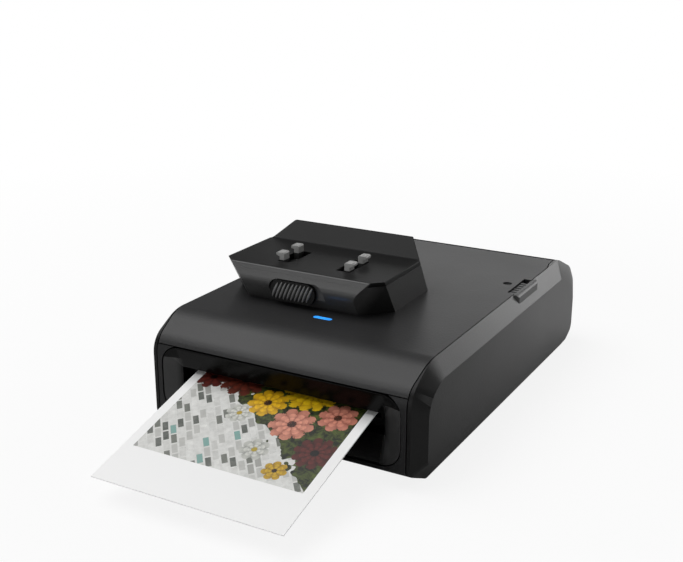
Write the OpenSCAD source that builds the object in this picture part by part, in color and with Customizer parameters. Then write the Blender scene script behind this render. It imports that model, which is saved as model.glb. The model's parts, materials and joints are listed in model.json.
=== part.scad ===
// Pocket photo printer with a clip-on camera dock on its hinged cover.
// Origin: middle of the flat underside. +X right, +Y to the rear, +Z up. Millimetres.

/* [Casing] */
// Overall width across the two side shells
body_w = 76; // [75:0.5:80]
// Overall depth, front face to rear face
body_d = 113.5; // [113:0.5:118]
// Height of the flat top above the underside
body_h = 29; // [28.8:0.1:31]
// Wall of the middle band and of the cover
wall = 1.8; // [1.6:0.1:2]
// Width in X of the chamfer round each side
cham_x = 2.64; // [2:0.1:3]
// Depth of the same chamfer, measured in the side view
cham_p = 3.7; // [3:0.1:4]
// Side shells' width on the front and underside
band_in = 3.8; // [3.6:0.1:4.2]
// Side shells' width on the flat top
cover_in = 2.9; // [2.8:0.05:3.1]
// Visible seam between two casing parts
seam = 0.25; // [0.2:0.05:0.3]
// Front-top slope: depth in Y
ft_y = 9.5; // [8.5:0.25:10]
// Front-top slope: drop in Z
ft_z = 5.1; // [4.5:0.1:5.2]
// Front-bottom slope: depth in Y
fb_y = 8.7; // [8:0.25:9.5]
// Front-bottom slope: rise in Z
fb_z = 4.3; // [4:0.1:4.6]
// Rear-bottom slope: depth in Y
bb_y = 7.75; // [7:0.25:8.5]
// Rear-bottom slope: rise in Z
bb_z = 3.4; // [3:0.1:4]
// How much further in the flat side ends at the rear
tail_in = 4.2; // [3:0.2:4.6]
// How much lower the flat side ends at the top
top_in = 0.7; // [0:0.1:1]
// Side wall thickness of the side shells
side_wall = 1.6; // [1.4:0.1:1.8]

/* [Cover] */
// Hinge axis, distance in front of the rear face
hinge_in = 17.75; // [17.5:0.25:18.5]
// Radius of the hinge barrel along the cover's rear edge
barrel_r = 2.7; // [2.5:0.1:2.8]
// Hinge pin radius
pin_r = 0.9; // [0.8:0.05:1]
// Running clearance of pins and shafts, on the radius
run = 0.05; // [0.03:0.01:0.08]
// Clearance between moving parts
gap = 0.3; // [0.25:0.05:0.35]
// Thickness of the stiffening ribs under the cover
rib_t = 1.0; // [0.8:0.1:1.2]
// Round recess beside the catch: radius
dot_r = 1.2; // [0.8:0.1:1.3]
// Round recess beside the catch: depth
dot_t = 0.35; // [0.3:0.05:0.6]
// Status light window, length
led_l = 5.2; // [4:0.2:6]
// Status light window, width
led_w = 1.6; // [1.4:0.1:1.8]
// Status light position in X
led_x = 0.6; // [-2:0.2:2]
// Status light distance behind the front face
led_in = 21.5; // [21:0.1:22]

/* [Cover catch] */
// Finger notch in the cover's right edge, length in Y
notch_l = 13; // [12:0.5:14]
// Middle of the notch, in Y
notch_y = 12; // [10:0.5:14]
// Width of the notch, in X
notch_w = 2; // [1.9:0.1:2.4]
// Travel of the ribbed catch, towards the rear
catch_travel = 2.2; // [1.8:0.2:2.4]
// Number of grip ribs on the catch
catch_ribs = 6; // [5:1:9]
// Width of the raised lip that guards the catch
lip_w = 1.5; // [1.2:0.1:1.6]
// Length of the lip past each end of the notch
lip_l = 1.3; // [1:0.1:1.6]

/* [Print outlet] */
// Frame beside the outlet opening, width
mouth_in = 1.2; // [1.1:0.1:1.6]
// Outlet opening, lower edge
mouth_z0 = 5.3; // [5.1:0.1:5.6]
// Outlet opening, upper edge below the flat top
mouth_drop = 6; // [5.9:0.1:6.4]
// Outlet corner radius
mouth_r = 5; // [4:0.25:5.5]
// Depth of the glossy insert
bezel_t = 5.6; // [5:0.1:6]
// How far the insert sits behind the front face
bezel_back = 0.2; // [0.1:0.1:0.5]
// Rim of the insert round its funnel
bezel_rim = 0.4; // [0.3:0.1:0.8]
// Paper slot height
slot_h = 2.6; // [2.4:0.1:2.8]
// Recess in front of the slot: extra width on each side
recess_x = 2.25; // [1.5:0.25:3]
// Recess in front of the slot: extra height below
recess_z = 2.7; // [2:0.1:3]
// Depth of the insert's dished face
dish_t = 1.8; // [1.4:0.1:2.2]
// Depth of the recess behind the dish
recess_t = 2.5; // [2:0.1:2.8]

/* [Photo sheet] */
// Sheet width
sheet_w = 50; // [48:0.5:50.5]
// Sheet length
sheet_l = 76; // [74:0.5:77]
// Sheet thickness
sheet_t = 0.25; // [0.2:0.05:0.35]
// Height of the paper path
path_z = 16.4; // [16.2:0.1:16.6]
// Downward slope of the part outside, degrees
droop = 14.6; // [12:0.5:16]
// Bend radius at the slot
bend_r = 26; // [20:2:30]
// How far the sheet's free end stands in front of the front face
sheet_out = 36; // [30:1:38]

/* [Mechanism] */
// Thickness of the chassis side plates
plate_t = 1.5; // [1.3:0.1:1.7]
// Clearance on each side of the sheet in the chassis
sheet_gap = 0.75; // [0.6:0.05:0.9]
// Tray floor thickness
tray_t = 1.3; // [1.1:0.1:1.5]
// Platen roller radius
platen_r = 3.3; // [3.1:0.1:3.4]
// Feed roller radius
feed_r = 2; // [1.8:0.1:2.1]
// Pick-up tyre radius
pick_r = 4.5; // [4.3:0.1:4.7]
// Pinch roller radius
pinch_r = 1.5; // [1.3:0.1:1.6]
// Roller shaft radius
shaft_r = 1.2; // [1:0.1:1.3]
// Gap left at each nip
nip = 0.05; // [0.04:0.01:0.08]
// Platen axis, behind the front face
platen_in = 14.75; // [14.5:0.25:15.25]
// Feed roller axis, behind the platen axis
feed_back = 10.5; // [10.25:0.25:11]
// Pick-up axis, behind the feed axis
pick_back = 12.5; // [12:0.25:13]
// Gear module
gear_m = 0.5; // [0.48:0.01:0.5]
// Gear face width
gear_w = 1.8; // [1.6:0.1:1.9]
// Motor can radius
motor_r = 5; // [4.6:0.1:5]
// Motor can length
motor_l = 11; // [10:0.5:12]
// Print head lift angle in use, degrees
head_lift = 5; // [3:1:6]

/* [Power and board] */
// Battery width, X
batt_w = 33; // [30:1:36]
// Battery length, Y
batt_l = 48; // [44:1:50]
// Battery thickness
batt_t = 6; // [5:0.5:6.5]
// Circuit board thickness
board_t = 1; // [0.8:0.1:1.2]
// Height of the board's underside
board_z = 9.6; // [9.4:0.1:10]
// Power button length, X
button_l = 9; // [8:0.5:10]
// Power button height, Z
button_h = 3.2; // [3:0.1:3.6]
// Power button travel
button_travel = 0.6; // [0.4:0.1:0.7]

/* [Camera dock] */
// Dock width
dock_w = 46; // [45:0.5:48]
// Middle of the dock in X
dock_x = -8.7; // [-10:0.1:0]
// Front of the dock's foot, behind the front face
dock_in = 27.3; // [27:0.1:28]
// Depth of the foot
dock_d = 30; // [29:0.5:31]
// Height of the dock plate above the cover
dock_h = 9.6; // [9.4:0.1:10]
// Height of the backrest above the dock plate
rest_h = 4.4; // [4:0.2:5]
// Bulge of the front face past its foot
dock_bulge = 3.5; // [3:0.1:4]
// Thickness of the dock plate
deck_t = 1.3; // [1.2:0.1:1.5]
// Wall of the dock housing
dock_wall = 1.5; // [1.3:0.1:1.6]
// Spacing of the hooks in X
hook_dx = 19.2; // [18:0.2:20]
// Spacing of the hooks in Y
hook_dy = 7.2; // [7:0.2:9]
// Offset of the hooks' middle from the dock's middle, X
hook_off = 1.3; // [0.5:0.1:1.5]
// Hook height above the plate
hook_h = 2.2; // [1.7:0.1:2.4]
// Reach of the hook's nose
hook_nose = 0.9; // [0.8:0.1:1.2]
// Travel of the release slide
release_travel = 2; // [1.6:0.1:2]
// Length of the release button
release_l = 13; // [11:0.5:13.5]
// Height of the release button
release_h = 5.4; // [5:0.1:5.6]
// Number of slanted grip ribs on it
release_ribs = 8; // [6:1:9]

/* [Hidden] */
$fn = 48;
e = 0.01;
hw = body_w / 2;
yf = -body_d / 2;
yb = body_d / 2;
edge_x = hw - cham_x;
band_half = hw - band_in;
cover_half = hw - cover_in;
mouth_w = 2 * (band_half - mouth_in);
mouth_z1 = body_h - mouth_drop;
part_z = mouth_z1;
shell_in = band_half + seam;
// side view of the casing, counter-clockwise, (y, z)
side_v = [[yf + fb_y, 0], [yb - bb_y, 0], [yb, bb_z], [yb, body_h - 10.6],
    [yb - 4.55, body_h - 5.1], [yb - 16.15, body_h], [yf + ft_y, body_h],
    [yf, body_h - ft_z], [yf, fb_z]];
side_r = [2.5, 2.5, 2, 5, 8, 8, 12, 6, 1.8];
outer = round_poly(side_v, side_r);
// outline of the flat side, further in at the rear and at the top
flat_dy = [0, -tail_in, -tail_in, -tail_in, -tail_in, -tail_in / 2, 0, 0, 0];
flat_dz = [0, 0, 0, 0, -top_in, -top_in, -top_in, -top_in / 2, 0];
flat_v = let (v = inset_poly(side_v, cham_p))
    [for (i = [0 : len(v) - 1]) v[i] + [flat_dy[i], flat_dz[i]]];
flat_side = round_poly(flat_v, [2, 3, 3, 6, 7, 7, 8, 6.5, 1.5]);
hinge_y = yb - hinge_in;
hinge_z = body_h - barrel_r;
// paper path
sheet_bot = path_z - sheet_t / 2;
sheet_top = path_z + sheet_t / 2;
guide_z = sheet_bot - 0.05;
cheek = sheet_w / 2 + sheet_gap;
bezel_y = yf + bezel_back;
slot_z = path_z - 0.35;
slot_z0 = slot_z - slot_h / 2;
slot_z1 = slot_z + slot_h / 2;
// shaft centres, (y, z)
platen_c = [yf + platen_in, sheet_bot - nip - platen_r];
feed_c = [platen_c[0] + feed_back, sheet_bot - nip - feed_r];
pick_c = [feed_c[0] + pick_back, sheet_bot - nip - pick_r];
pinch_c = [feed_c[0], sheet_top + nip + pinch_r];
pivot_c = [feed_c[0] - 3.2, sheet_top + 4.6];
// teeth
n_platen = 22; n_feed = 13; n_pick = 30; n_idle = 12; n_pinion = 10; n_big = 18; n_small = 10;
slack = 0.06;
idle1_c = meet(platen_c, mesh_d(n_platen, n_idle), feed_c, mesh_d(n_feed, n_idle));
idle2_c = meet(feed_c, mesh_d(n_feed, n_idle), pick_c, mesh_d(n_pick, n_idle));
motor_c = [feed_c[0] + 2, wall + gap + motor_r];
comp_c = meet(motor_c, mesh_d(n_pinion, n_big), platen_c, mesh_d(n_platen, n_small));
ph_platen = 0;
ph_idle1 = phase(ph_platen, n_platen, n_idle, platen_c, idle1_c);
ph_feed = phase(ph_idle1, n_idle, n_feed, idle1_c, feed_c);
ph_idle2 = phase(ph_feed, n_feed, n_idle, feed_c, idle2_c);
ph_pick = phase(ph_idle2, n_idle, n_pick, idle2_c, pick_c);
ph_small = phase(ph_platen, n_platen, n_small, platen_c, comp_c);
ph_pinion = phase(ph_small, n_big, n_pinion, comp_c, motor_c);
gear_x = cheek + plate_t + 0.5;
gear2_x = gear_x + gear_w + 0.25;
tray_y0 = pick_c[0] - 5.5;
tray_y1 = tray_y0 + sheet_l + 2;
rib_step = 22;
tray_ribs = [for (i = [0 : 2]) tray_y0 + 20 + i * rib_step];
bar_z = pivot_c[1] + 1.275;
bar_t = 1;
bar_h = 2.6;
bar_half = 2.5;
plate_z = pivot_c[1] + 2.475;
press_ys = [-3 - 11, -3 + 11];
board_y0 = pick_c[0] + 9;
board_y1 = yb - 4.2;
post_ys = [board_y0 + 3, board_y1 - 7];
port_z = board_z + board_t;
button_z = 12.6;
button_x = -14;
port_x = 12;
// dock
dx0 = dock_x - dock_w / 2;
dx1 = dock_x + dock_w / 2;
dyf = yf + dock_in;
dyb = dyf + dock_d;
dz0 = body_h;
dz1 = body_h + dock_h;
deck_z = dz1 - deck_t;
rest_y = dyb - 8.6;
hook_x = dock_x + hook_off;
hook_y = dyf + 8.5;
carr_z1 = deck_z - gap;
carr_t = 1.6;
carr_z0 = carr_z1 - carr_t;
pinion_n = 10;
pinion_m = 0.4;
pinion_pr = pinion_m * pinion_n / 2;
rel_x = dock_x - 1.2;
rel_z = body_h + 4.05;
face_y = dyf - dock_bulge;
screw_pts = [[-30, yf + 12.5], [30, yf + 12.5], [-29, yb - 22], [29, yb - 22]];
pad_pts = [[-21, yf + 14], [21, yf + 14], [-27, yb - 13], [27, yb - 13]];

// ---------- outlines ----------
function fillet_pts(p0, p1, p2, r, n) =
    let (a = (p0 - p1) / norm(p0 - p1), b = (p2 - p1) / norm(p2 - p1), h = acos(a * b) / 2,
        c = p1 + (a + b) / norm(a + b) * (r / sin(h)), s = p1 + a * (r / tan(h)),
        t = p1 + b * (r / tan(h)), a0 = atan2(s[1] - c[1], s[0] - c[0]),
        a1 = atan2(t[1] - c[1], t[0] - c[0]), d0 = a1 - a0,
        d = d0 > 180 ? d0 - 360 : d0 < -180 ? d0 + 360 : d0)
    [for (i = [0 : n]) c + r * [cos(a0 + d * i / n), sin(a0 + d * i / n)]];
function round_poly(v, r, n = 7) = [for (i = [0 : len(v) - 1]) each (r[i] <= 0 ? [v[i]] :
    fillet_pts(v[(i + len(v) - 1) % len(v)], v[i], v[(i + 1) % len(v)], r[i], n))];
function inset_poly(v, d) = [for (i = [0 : len(v) - 1])
    let (a = v[(i + len(v) - 1) % len(v)], b = v[i], c = v[(i + 1) % len(v)],
        u = (b - a) / norm(b - a), w = (c - b) / norm(c - b),
        n1 = [-u[1], u[0]], n2 = [-w[1], w[0]]) b + (n1 + n2) * (d / (1 + n1 * n2))];
function casing(d) = round_poly(inset_poly(side_v, d), [for (r = side_r) max(0.6, r - d * 0.6)]);
// third corner of a triangle with sides da (from a) and db (from b), on the upper side
function meet(a, da, b, db) = let (d = norm(b - a), u = (b - a) / d,
    k = (da * da - db * db + d * d) / (2 * d), h = sqrt(max(0, da * da - k * k)),
    s = u[0] > 0 ? 1 : -1) a + u * k + h * s * [-u[1], u[0]] * (b[0] < a[0] ? -1 : 1);
function mesh_d(a, b) = gear_m * (a + b) / 2 + slack;
// turn of a gear at cb so that its gap meets a tooth of the gear at ca
function phase(pa, na, nb, ca, cb) = let (b = atan2(cb[1] - ca[1], cb[0] - ca[0]))
    b + 180 + (180 - (pa - b) * na) / nb;
function tooth_pts(n, m, ph) = let (rp = m * n / 2, ra = rp + 0.85 * m, rr = rp - 1.15 * m)
    [for (i = [0 : n - 1]) each [for (k = [[rr, -0.3], [rp, -0.19], [ra, -0.09], [ra, 0.09],
        [rp, 0.19], [rr, 0.3]]) k[0] * [cos(ph + (i + k[1]) * 360 / n),
        sin(ph + (i + k[1]) * 360 / n)]]];

module along_x(x0, x1) { translate([x0, 0, 0]) rotate([90, 0, 90]) linear_extrude(x1 - x0) children(); }
module along_y(y0, y1) {
    translate([0, y1, 0]) rotate([90, 0, 0]) linear_extrude(y1 - y0) children();
}
module rod_x(x0, x1, c, r) { translate([x0, c[0], c[1]]) rotate([0, 90, 0]) cylinder(h = x1 - x0, r = r); }
module rod_y(y0, y1, x, z, r) { translate([x, y0, z]) rotate([-90, 0, 0]) cylinder(h = y1 - y0, r = r); }
module box(a, b) { translate(a) cube([b[0] - a[0], b[1] - a[1], b[2] - a[2]]); }
module stadium(l, w) { hull() for (s = [-1, 1]) translate([s * (l - w) / 2, 0]) circle(d = w, $fn = 32); }
module rrect(w, h, r) {
    polygon(round_poly([[-w / 2, -h / 2], [w / 2, -h / 2], [w / 2, h / 2], [-w / 2, h / 2]],
        [r, r, r, r]));
}
module ring_gear(n, m, x0, x1, c, ph, bore) {
    translate([x0, c[0], c[1]]) rotate([90, 0, 90]) linear_extrude(x1 - x0)
        difference() { polygon(tooth_pts(n, m, ph)); circle(r = bore); }
}
// compression spring standing on z = 0
module coil(r, wire, len, turns, segs = 10, sides = 5) {
    w = wire / 2; n = turns * segs;
    pts = [for (i = [0 : n]) for (k = [0 : sides - 1]) let (a = 360 * i / segs, b = 360 * k / sides)
        [(r + w * cos(b)) * cos(a), (r + w * cos(b)) * sin(a), w + (len - wire) * i / n + w * sin(b)]];
    tri = [for (i = [0 : n - 1]) for (k = [0 : sides - 1]) let (p = i * sides + k,
        q = i * sides + (k + 1) % sides) each [[p, p + sides, q], [q, p + sides, q + sides]]];
    polyhedron(points = pts, faces = concat(tri, [[for (k = [0 : sides - 1]) k],
        [for (k = [sides - 1 : -1 : 0]) n * sides + k]]));
}

// ---------- casing ----------
module band(d0, d1) { difference() { polygon(d0 == 0 ? outer : casing(d0)); polygon(casing(d1)); } }
// plan of the cover: the full flat top, drawn in along the front slope
module cover_plan(g) {
    x1 = cover_half + g; x2 = band_half + g; ya = hinge_y - barrel_r - 1.2 + g; yn = ya - 3.6;
    polygon([[-x2, hinge_y + 6], [-x2, ya], [-x1, yn], [-x1, yf + ft_y + 1], [-x2, yf + 1.2],
        [-x2, yf - 3], [x2, yf - 3], [x2, yf + 1.2], [x1, yf + ft_y + 1], [x1, yn], [x2, ya],
        [x2, hinge_y + 6]]);
}
module cover_skin(g) {
    intersection() {
        along_x(-hw, hw) difference() {
            polygon(g > 0 ? inset_poly(side_v, -2) : outer);
            polygon(casing(wall + g));
        }
        box([-hw, yf - 3, part_z - g], [hw, hinge_y, body_h + 3]);
        translate([0, 0, -1]) linear_extrude(body_h + 5) cover_plan(g);
    }
}
module base_pan() {
    color([0.13, 0.13, 0.14]) difference() {
        union() {
            intersection() {
                along_x(-band_half, band_half) band(0, wall);
                box([-hw, yf + fb_y + 1, -1], [hw, yb - bb_y - 1, wall + 2]);
            }
            // posts for the case screws
            for (p = screw_pts) translate([p[0], p[1], wall - e]) cylinder(h = 2.2, r = 2.7);
            // battery rails
            for (s = [-1, 1]) box([s * (batt_w / 2 + 1) - 0.6, board_y0 + 4, wall - e],
                [s * (batt_w / 2 + 1) + 0.6, board_y0 + batt_l + 4, wall + 3]);
            // board posts
            for (x = [-1, 1], y = post_ys)
                translate([x * 23, y, wall - e]) cylinder(h = board_z - wall + e, r = 1.9);
            // cross ribs under the rollers
            for (y = [yf + 17, pick_c[0] + 7.4]) box([-24, y - 0.5, wall - e], [8, y + 0.5, wall + 2.4]);
        }
        for (p = screw_pts) translate([p[0], p[1], -e]) {
            cylinder(h = 10, r = 1.1);
            cylinder(h = 1.6 + 2 * e, r = 2.3);
        }
        for (p = pad_pts) translate([p[0], p[1], -e]) cylinder(h = 0.8 + e, r = 3.6);
    }
}
module front_frame() {
    color([0.1, 0.1, 0.11]) difference() {
        intersection() {
            along_x(-band_half, band_half) band(0, wall);
            box([-hw, yf - 1, -1], [hw, yf + fb_y + 1 - seam, part_z - seam]);
        }
        along_y(yf - 1, yf + wall + 2) translate([0, (mouth_z0 + mouth_z1) / 2])
            rrect(mouth_w, mouth_z1 - mouth_z0, mouth_r);
    }
}
module rear_panel() {
    color([0.15, 0.15, 0.16]) difference() {
        union() {
            intersection() {
                along_x(-band_half, band_half) band(0, wall);
                difference() {
                    box([-hw, hinge_y, -1], [hw, yb + 1, body_h + 1]);
                    box([-hw, hinge_y - 1, -2], [hw, yb - bb_y - 1 + seam, wall + 3]);
                }
            }
            // shelf that backs the hinge barrel
            intersection() {
                along_x(-band_half, band_half) polygon(casing(wall - e));
                box([-hw, hinge_y + barrel_r - 0.5, hinge_z - 3.4], [hw, yb, hinge_z - 2]);
            }
        }
        rod_x(-hw, hw, [hinge_y, hinge_z], barrel_r + gap + 0.35);
        box([-hw, hinge_y - 2, hinge_z], [hw, hinge_y + 1.4, body_h + 1]);
        // port and button holes
        along_y(yb - 4, yb + 1) translate([port_x, port_z + 1.62]) stadium(9.3, 3.5);
        along_y(yb - 4, yb + 1) translate([button_x, button_z]) stadium(button_l + 0.5, button_h + 0.5);
        // shallow dish round the port
        along_y(yb - 0.5, yb + 1) translate([port_x, port_z + 1.62]) stadium(12, 6);
    }
}
module side_shell() {
    difference() {
        union() {
            along_x(shell_in, edge_x) polygon(outer);
            hull() {
                along_x(edge_x - e, edge_x) polygon(outer);
                along_x(hw - e, hw) polygon(flat_side);
            }
        }
        along_x(shell_in - 1, hw - side_wall)
            polygon(round_poly(inset_poly(flat_v, 1), [2, 2, 2, 4, 5, 5, 6, 5, 1]));
        along_x(shell_in - 1, edge_x - 0.3) polygon(casing(wall + 0.4));
        // room for the cover's edge and its hinge barrel
        cover_skin(seam);
        rod_x(shell_in - 1, edge_x + 0.65, [hinge_y, hinge_z], pin_r + 0.01);
    }
}
module left_side_shell() { color([0.16, 0.16, 0.17]) mirror([1, 0, 0]) side_shell(); }
module right_side_shell() {
    color([0.16, 0.16, 0.17]) {
        difference() {
            side_shell();
            // track for the catch
            box([shell_in - 1, notch_y - notch_l / 2, body_h - 6.4],
                [cover_half + seam, notch_y + notch_l / 2, body_h + 1]);
        }
        // raised lip that guards the catch
        intersection() {
            l = notch_l / 2 + lip_l; c = cover_half + seam;
            translate([0, notch_y, 0]) linear_extrude(body_h + 1) polygon(round_poly([[c, -l],
                [c + lip_w, -l], [c + lip_w, l], [c, l]], [0, lip_w - 0.3, lip_w - 0.3, 0]));
            along_y(notch_y - l - 1, notch_y + l + 1) polygon([[c, body_h - 5], [c + lip_w + 1, body_h - 5],
                [c + lip_w + 1, body_h - 1.1], [c + lip_w - 0.1, body_h - 0.7],
                [c + lip_w - 0.4, body_h - 0.3], [c + lip_w - 0.8, body_h - 0.05], [c, body_h - 0.05]]);
        }
    }
}
module exit_bezel() {
    w = mouth_w - 2 * seam; h = mouth_z1 - mouth_z0 - 2 * seam; zc = (mouth_z0 + mouth_z1) / 2;
    color([0.03, 0.03, 0.035]) difference() {
        union() {
            along_y(bezel_y, yf + wall) translate([0, zc]) rrect(w, h, mouth_r - seam);
            along_y(yf + wall - e, bezel_y + bezel_t) translate([0, zc]) rrect(w - 1.6, h - 1.2, mouth_r);
            along_y(yf + wall + 0.05, yf + wall + 1) translate([0, zc]) rrect(w + 0.6, h - 0.4, mouth_r);
        }
        // dished face round the recess
        hull() {
            along_y(bezel_y - 0.02, bezel_y) translate([0, zc])
                rrect(w - 2 * bezel_rim, h - 2 * bezel_rim, mouth_r - seam - bezel_rim);
            box([-cheek - recess_x, bezel_y + dish_t, slot_z0 - recess_z],
                [cheek + recess_x, bezel_y + dish_t + e, slot_z1]);
        }
        // recess and paper slot
        box([-cheek - recess_x, bezel_y + dish_t - e, slot_z0 - recess_z],
            [cheek + recess_x, bezel_y + dish_t + recess_t, slot_z1]);
        box([-cheek, bezel_y, slot_z0], [cheek, bezel_y + bezel_t + 1, slot_z1]);
    }
}
module rubber_pads() {
    color([0.08, 0.08, 0.08]) for (p = pad_pts) translate([p[0], p[1], 0])
        rotate_extrude() polygon([[0, 0], [3.3, 0], [3.5, 0.2], [3.5, 0.8], [0, 0.8]]);
}
module case_screws() {
    color([0.55, 0.55, 0.57]) for (p = screw_pts) translate([p[0], p[1], 0.5]) difference() {
        union() {
            rotate_extrude() polygon([[0, 0], [1.6, 0], [2.1, 0.3], [2.1, 1.1], [0, 1.1]]);
            cylinder(h = 6.2, r = 1.0);
        }
        for (a = [0, 90]) rotate([0, 0, a]) box([-1.1, -0.25, -e], [1.1, 0.25, 0.7]);
    }
}
module hinge_pins() {
    color([0.7, 0.7, 0.72]) for (s = [0, 1]) mirror([s, 0, 0])
        rod_x(band_half - 3.2, edge_x + 0.6, [hinge_y, hinge_z], pin_r);
}

// ---------- inner works ----------
module side_plate(motor) {
    x0 = cheek; x1 = cheek + plate_t; zf = guide_z;
    difference() {
        union() {
            // plate round the rollers and beside the tray
            along_x(x0, x1) polygon([[yf + 8.4, 8], [yf + 10.5, wall], [tray_y0 + 12, wall],
                [tray_y0 + 12, zf - tray_t], [tray_y1, zf - tray_t], [tray_y1, zf + 1.4],
                [tray_y1 - 3, zf + 4.4], [pick_c[0] + 4, zf + 4.4], [pick_c[0], plate_z],
                [yf + 13, plate_z], [yf + 8.4, plate_z - 3.6]]);
            // lugs of the case screws, the rear one on a leg
            for (p = [screw_pts[1], screw_pts[3]])
                box([x1 - e, p[1] - 2.2, wall + 2.2], [p[0] + 2, p[1] + 2.2, wall + 4.2]);
            box([x1 - e, screw_pts[3][1] - 2.2, wall + 2.2], [x1 + 0.8, screw_pts[3][1] + 2.2, zf + 1]);
        }
        // bearings
        for (c = [platen_c, feed_c, pick_c]) rod_x(x0 - 1, x1 + 1, c, shaft_r + run);
        rod_x(x0 - 1, x1 + 1, pinch_c, 0.8 + run);
        rod_x(x0 - 1, x1 + 1, pivot_c, 1 + run);
        if (motor) rod_x(x0 - 1, x1 + 1, motor_c, 2.2);
        for (p = screw_pts) translate([p[0], p[1], 0]) cylinder(h = 7, r = 1.0 + 0.02);
        // slot that seats the spring bar's end
        box([cheek + plate_t / 2 - 1, platen_c[0] - bar_half - 0.1, bar_z],
            [cheek + plate_t / 2 + 1, platen_c[0] + bar_half + 0.1, bar_z + bar_h]);
    }
}
module chassis_left() { color([0.2, 0.2, 0.21]) mirror([1, 0, 0]) side_plate(false); }
module chassis_right() { color([0.2, 0.2, 0.21]) side_plate(true); }
module sheet_guides() {
    // two strips between the side plates, before and behind the platen
    color([0.2, 0.2, 0.21]) for (y = [[yf + 8.6, platen_c[0] - platen_r - 0.6],
        [platen_c[0] + platen_r + 0.9, feed_c[0] - feed_r - 0.5]])
            box([-cheek, y[0], guide_z - 1], [cheek, y[1], guide_z]);
}
module paper_tray() {
    x1 = cheek + plate_t; zf = guide_z;
    color([0.21, 0.21, 0.22]) difference() {
        union() {
            // floor, with its lead-in lip, and back wall
            box([-cheek, tray_y0, zf - tray_t], [cheek, tray_y1 + e, zf]);
            box([-cheek, feed_c[0] + feed_r + 0.6, zf - 1], [cheek, tray_y0 + e, zf]);
            box([-x1, tray_y1, zf - tray_t], [x1, tray_y1 + 1.2, zf + 1.4]);
            for (y = tray_ribs)
                box([-cheek, y - 0.6, zf - tray_t - 0.9], [cheek, y + 0.6, zf - tray_t + e]);
            // stop ribs that lift the sheet off the floor at the sides
            for (s = [-1, 1]) box([s * 24 - 0.4, tray_y0 + 14, zf - e], [s * 24 + 0.4, tray_y1, zf + 0.04]);
        }
        // windows for the pick-up tyres
        for (s = [-1, 1]) box([s * 12 - 4.6, pick_c[0] - 4.9, 5], [s * 12 + 4.6, pick_c[0] + 4.9, 17]);
        // lightening holes
        for (i = [0, 1]) translate([0, (tray_ribs[i] + tray_ribs[i + 1]) / 2, 10]) linear_extrude(10)
            rrect(36, rib_step - 10, 2);
    }
}
module spring_bar() {
    color([0.62, 0.63, 0.65]) difference() {
        union() {
            box([-cheek - plate_t, platen_c[0] - bar_half, bar_z],
                [cheek + plate_t, platen_c[0] + bar_half, bar_z + bar_t]);
            box([-cheek + 1, platen_c[0] + bar_half - 0.8, bar_z + bar_t - e],
                [cheek - 1, platen_c[0] + bar_half, bar_z + bar_h]);
        }
        for (s = [-1, 1]) translate([s * 15, platen_c[0], 20]) cylinder(h = 5, r = 0.8);
    }
}
module print_head() {
    // ceramic bar with its heating bead and the driver cover
    color([0.86, 0.84, 0.78]) {
        box([-cheek + 0.4, platen_c[0] - 3.4, sheet_top + nip + 0.12],
            [cheek - 0.4, platen_c[0] + 3.6, sheet_top + nip + 1]);
        intersection() {
            rod_x(-cheek + 0.6, cheek - 0.6, [platen_c[0], sheet_top + nip + 1.2], 1.2);
            box([-cheek, platen_c[0] - 2, sheet_top + nip], [cheek, platen_c[0] + 2, sheet_top + nip + 0.5]);
        }
    }
}
module head_bracket() {
    z0 = sheet_top + nip + 1; y0 = platen_c[0] - 4; y1 = pivot_c[0];
    color([0.7, 0.71, 0.73]) difference() {
        union() {
            along_x(-cheek + 0.3, cheek - 0.3) polygon([[y0, z0], [platen_c[0] + 4.2, z0],
                [platen_c[0] + 5, z0 + 1.2], [y1, pivot_c[1] - 0.9], [y1, pivot_c[1] + 0.9],
                [platen_c[0] + 3.6, z0 + 2.6], [platen_c[0] + 3.2, z0 + 1.3], [y0, z0 + 1.3]]);
            // cooling fins
            for (x = [-22 : 4 : 22]) if (abs(abs(x) - 15) > 2.5)
                box([x - 0.4, y0 + 0.6, z0 + 1.3 - e], [x + 0.4, platen_c[0] + 3, z0 + 3]);
            rod_x(-cheek + 0.3, cheek - 0.3, pivot_c, 1.6);
            rod_x(-cheek - plate_t + 0.1, cheek + plate_t - 0.1, pivot_c, 1);
            // spring seats
            for (s = [-1, 1]) translate([s * 15, platen_c[0], z0 + 1.3 - e]) cylinder(h = 0.8, r = 0.9);
        }
        for (s = [-1, 1]) box([s * 15 - 4, y1 - 1.9, pivot_c[1] - 3], [s * 15 + 4, y1 + 3, pivot_c[1] + 3]);
    }
}
module head_springs() {
    z0 = sheet_top + nip + 2.3 + 0.02;
    color([0.75, 0.75, 0.77]) for (s = [-1, 1]) translate([s * 15, platen_c[0], z0])
        coil(1.4, 0.4, bar_z - z0 - 0.02, 4);
}
module shaft(c, x0, x1) { rod_x(x0, x1, c, shaft_r); }
module platen_shaft() {
    color([0.72, 0.72, 0.74]) shaft(platen_c, -cheek - plate_t - 0.6, gear_x + gear_w + 0.2);
}
module platen_rubber() {
    color([0.12, 0.12, 0.12]) difference() {
        rod_x(-cheek + 0.3, cheek - 0.3, platen_c, platen_r);
        rod_x(-cheek, cheek, platen_c, shaft_r);
    }
}
module platen_gear() {
    color([0.85, 0.84, 0.8]) ring_gear(n_platen, gear_m, gear_x, gear_x + gear_w, platen_c, ph_platen, shaft_r);
}
module feed_roller() {
    color([0.3, 0.3, 0.31]) {
        shaft(feed_c, -cheek - plate_t - 0.6, gear_x + gear_w + 0.2);
        for (x = [-16, 0, 16]) difference() {
            rod_x(x - 5, x + 5, feed_c, feed_r);
            rod_x(x - 6, x + 6, feed_c, shaft_r - 0.2);
        }
    }
}
module feed_gear() {
    color([0.85, 0.84, 0.8]) ring_gear(n_feed, gear_m, gear_x, gear_x + gear_w, feed_c, ph_feed, shaft_r);
}
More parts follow.
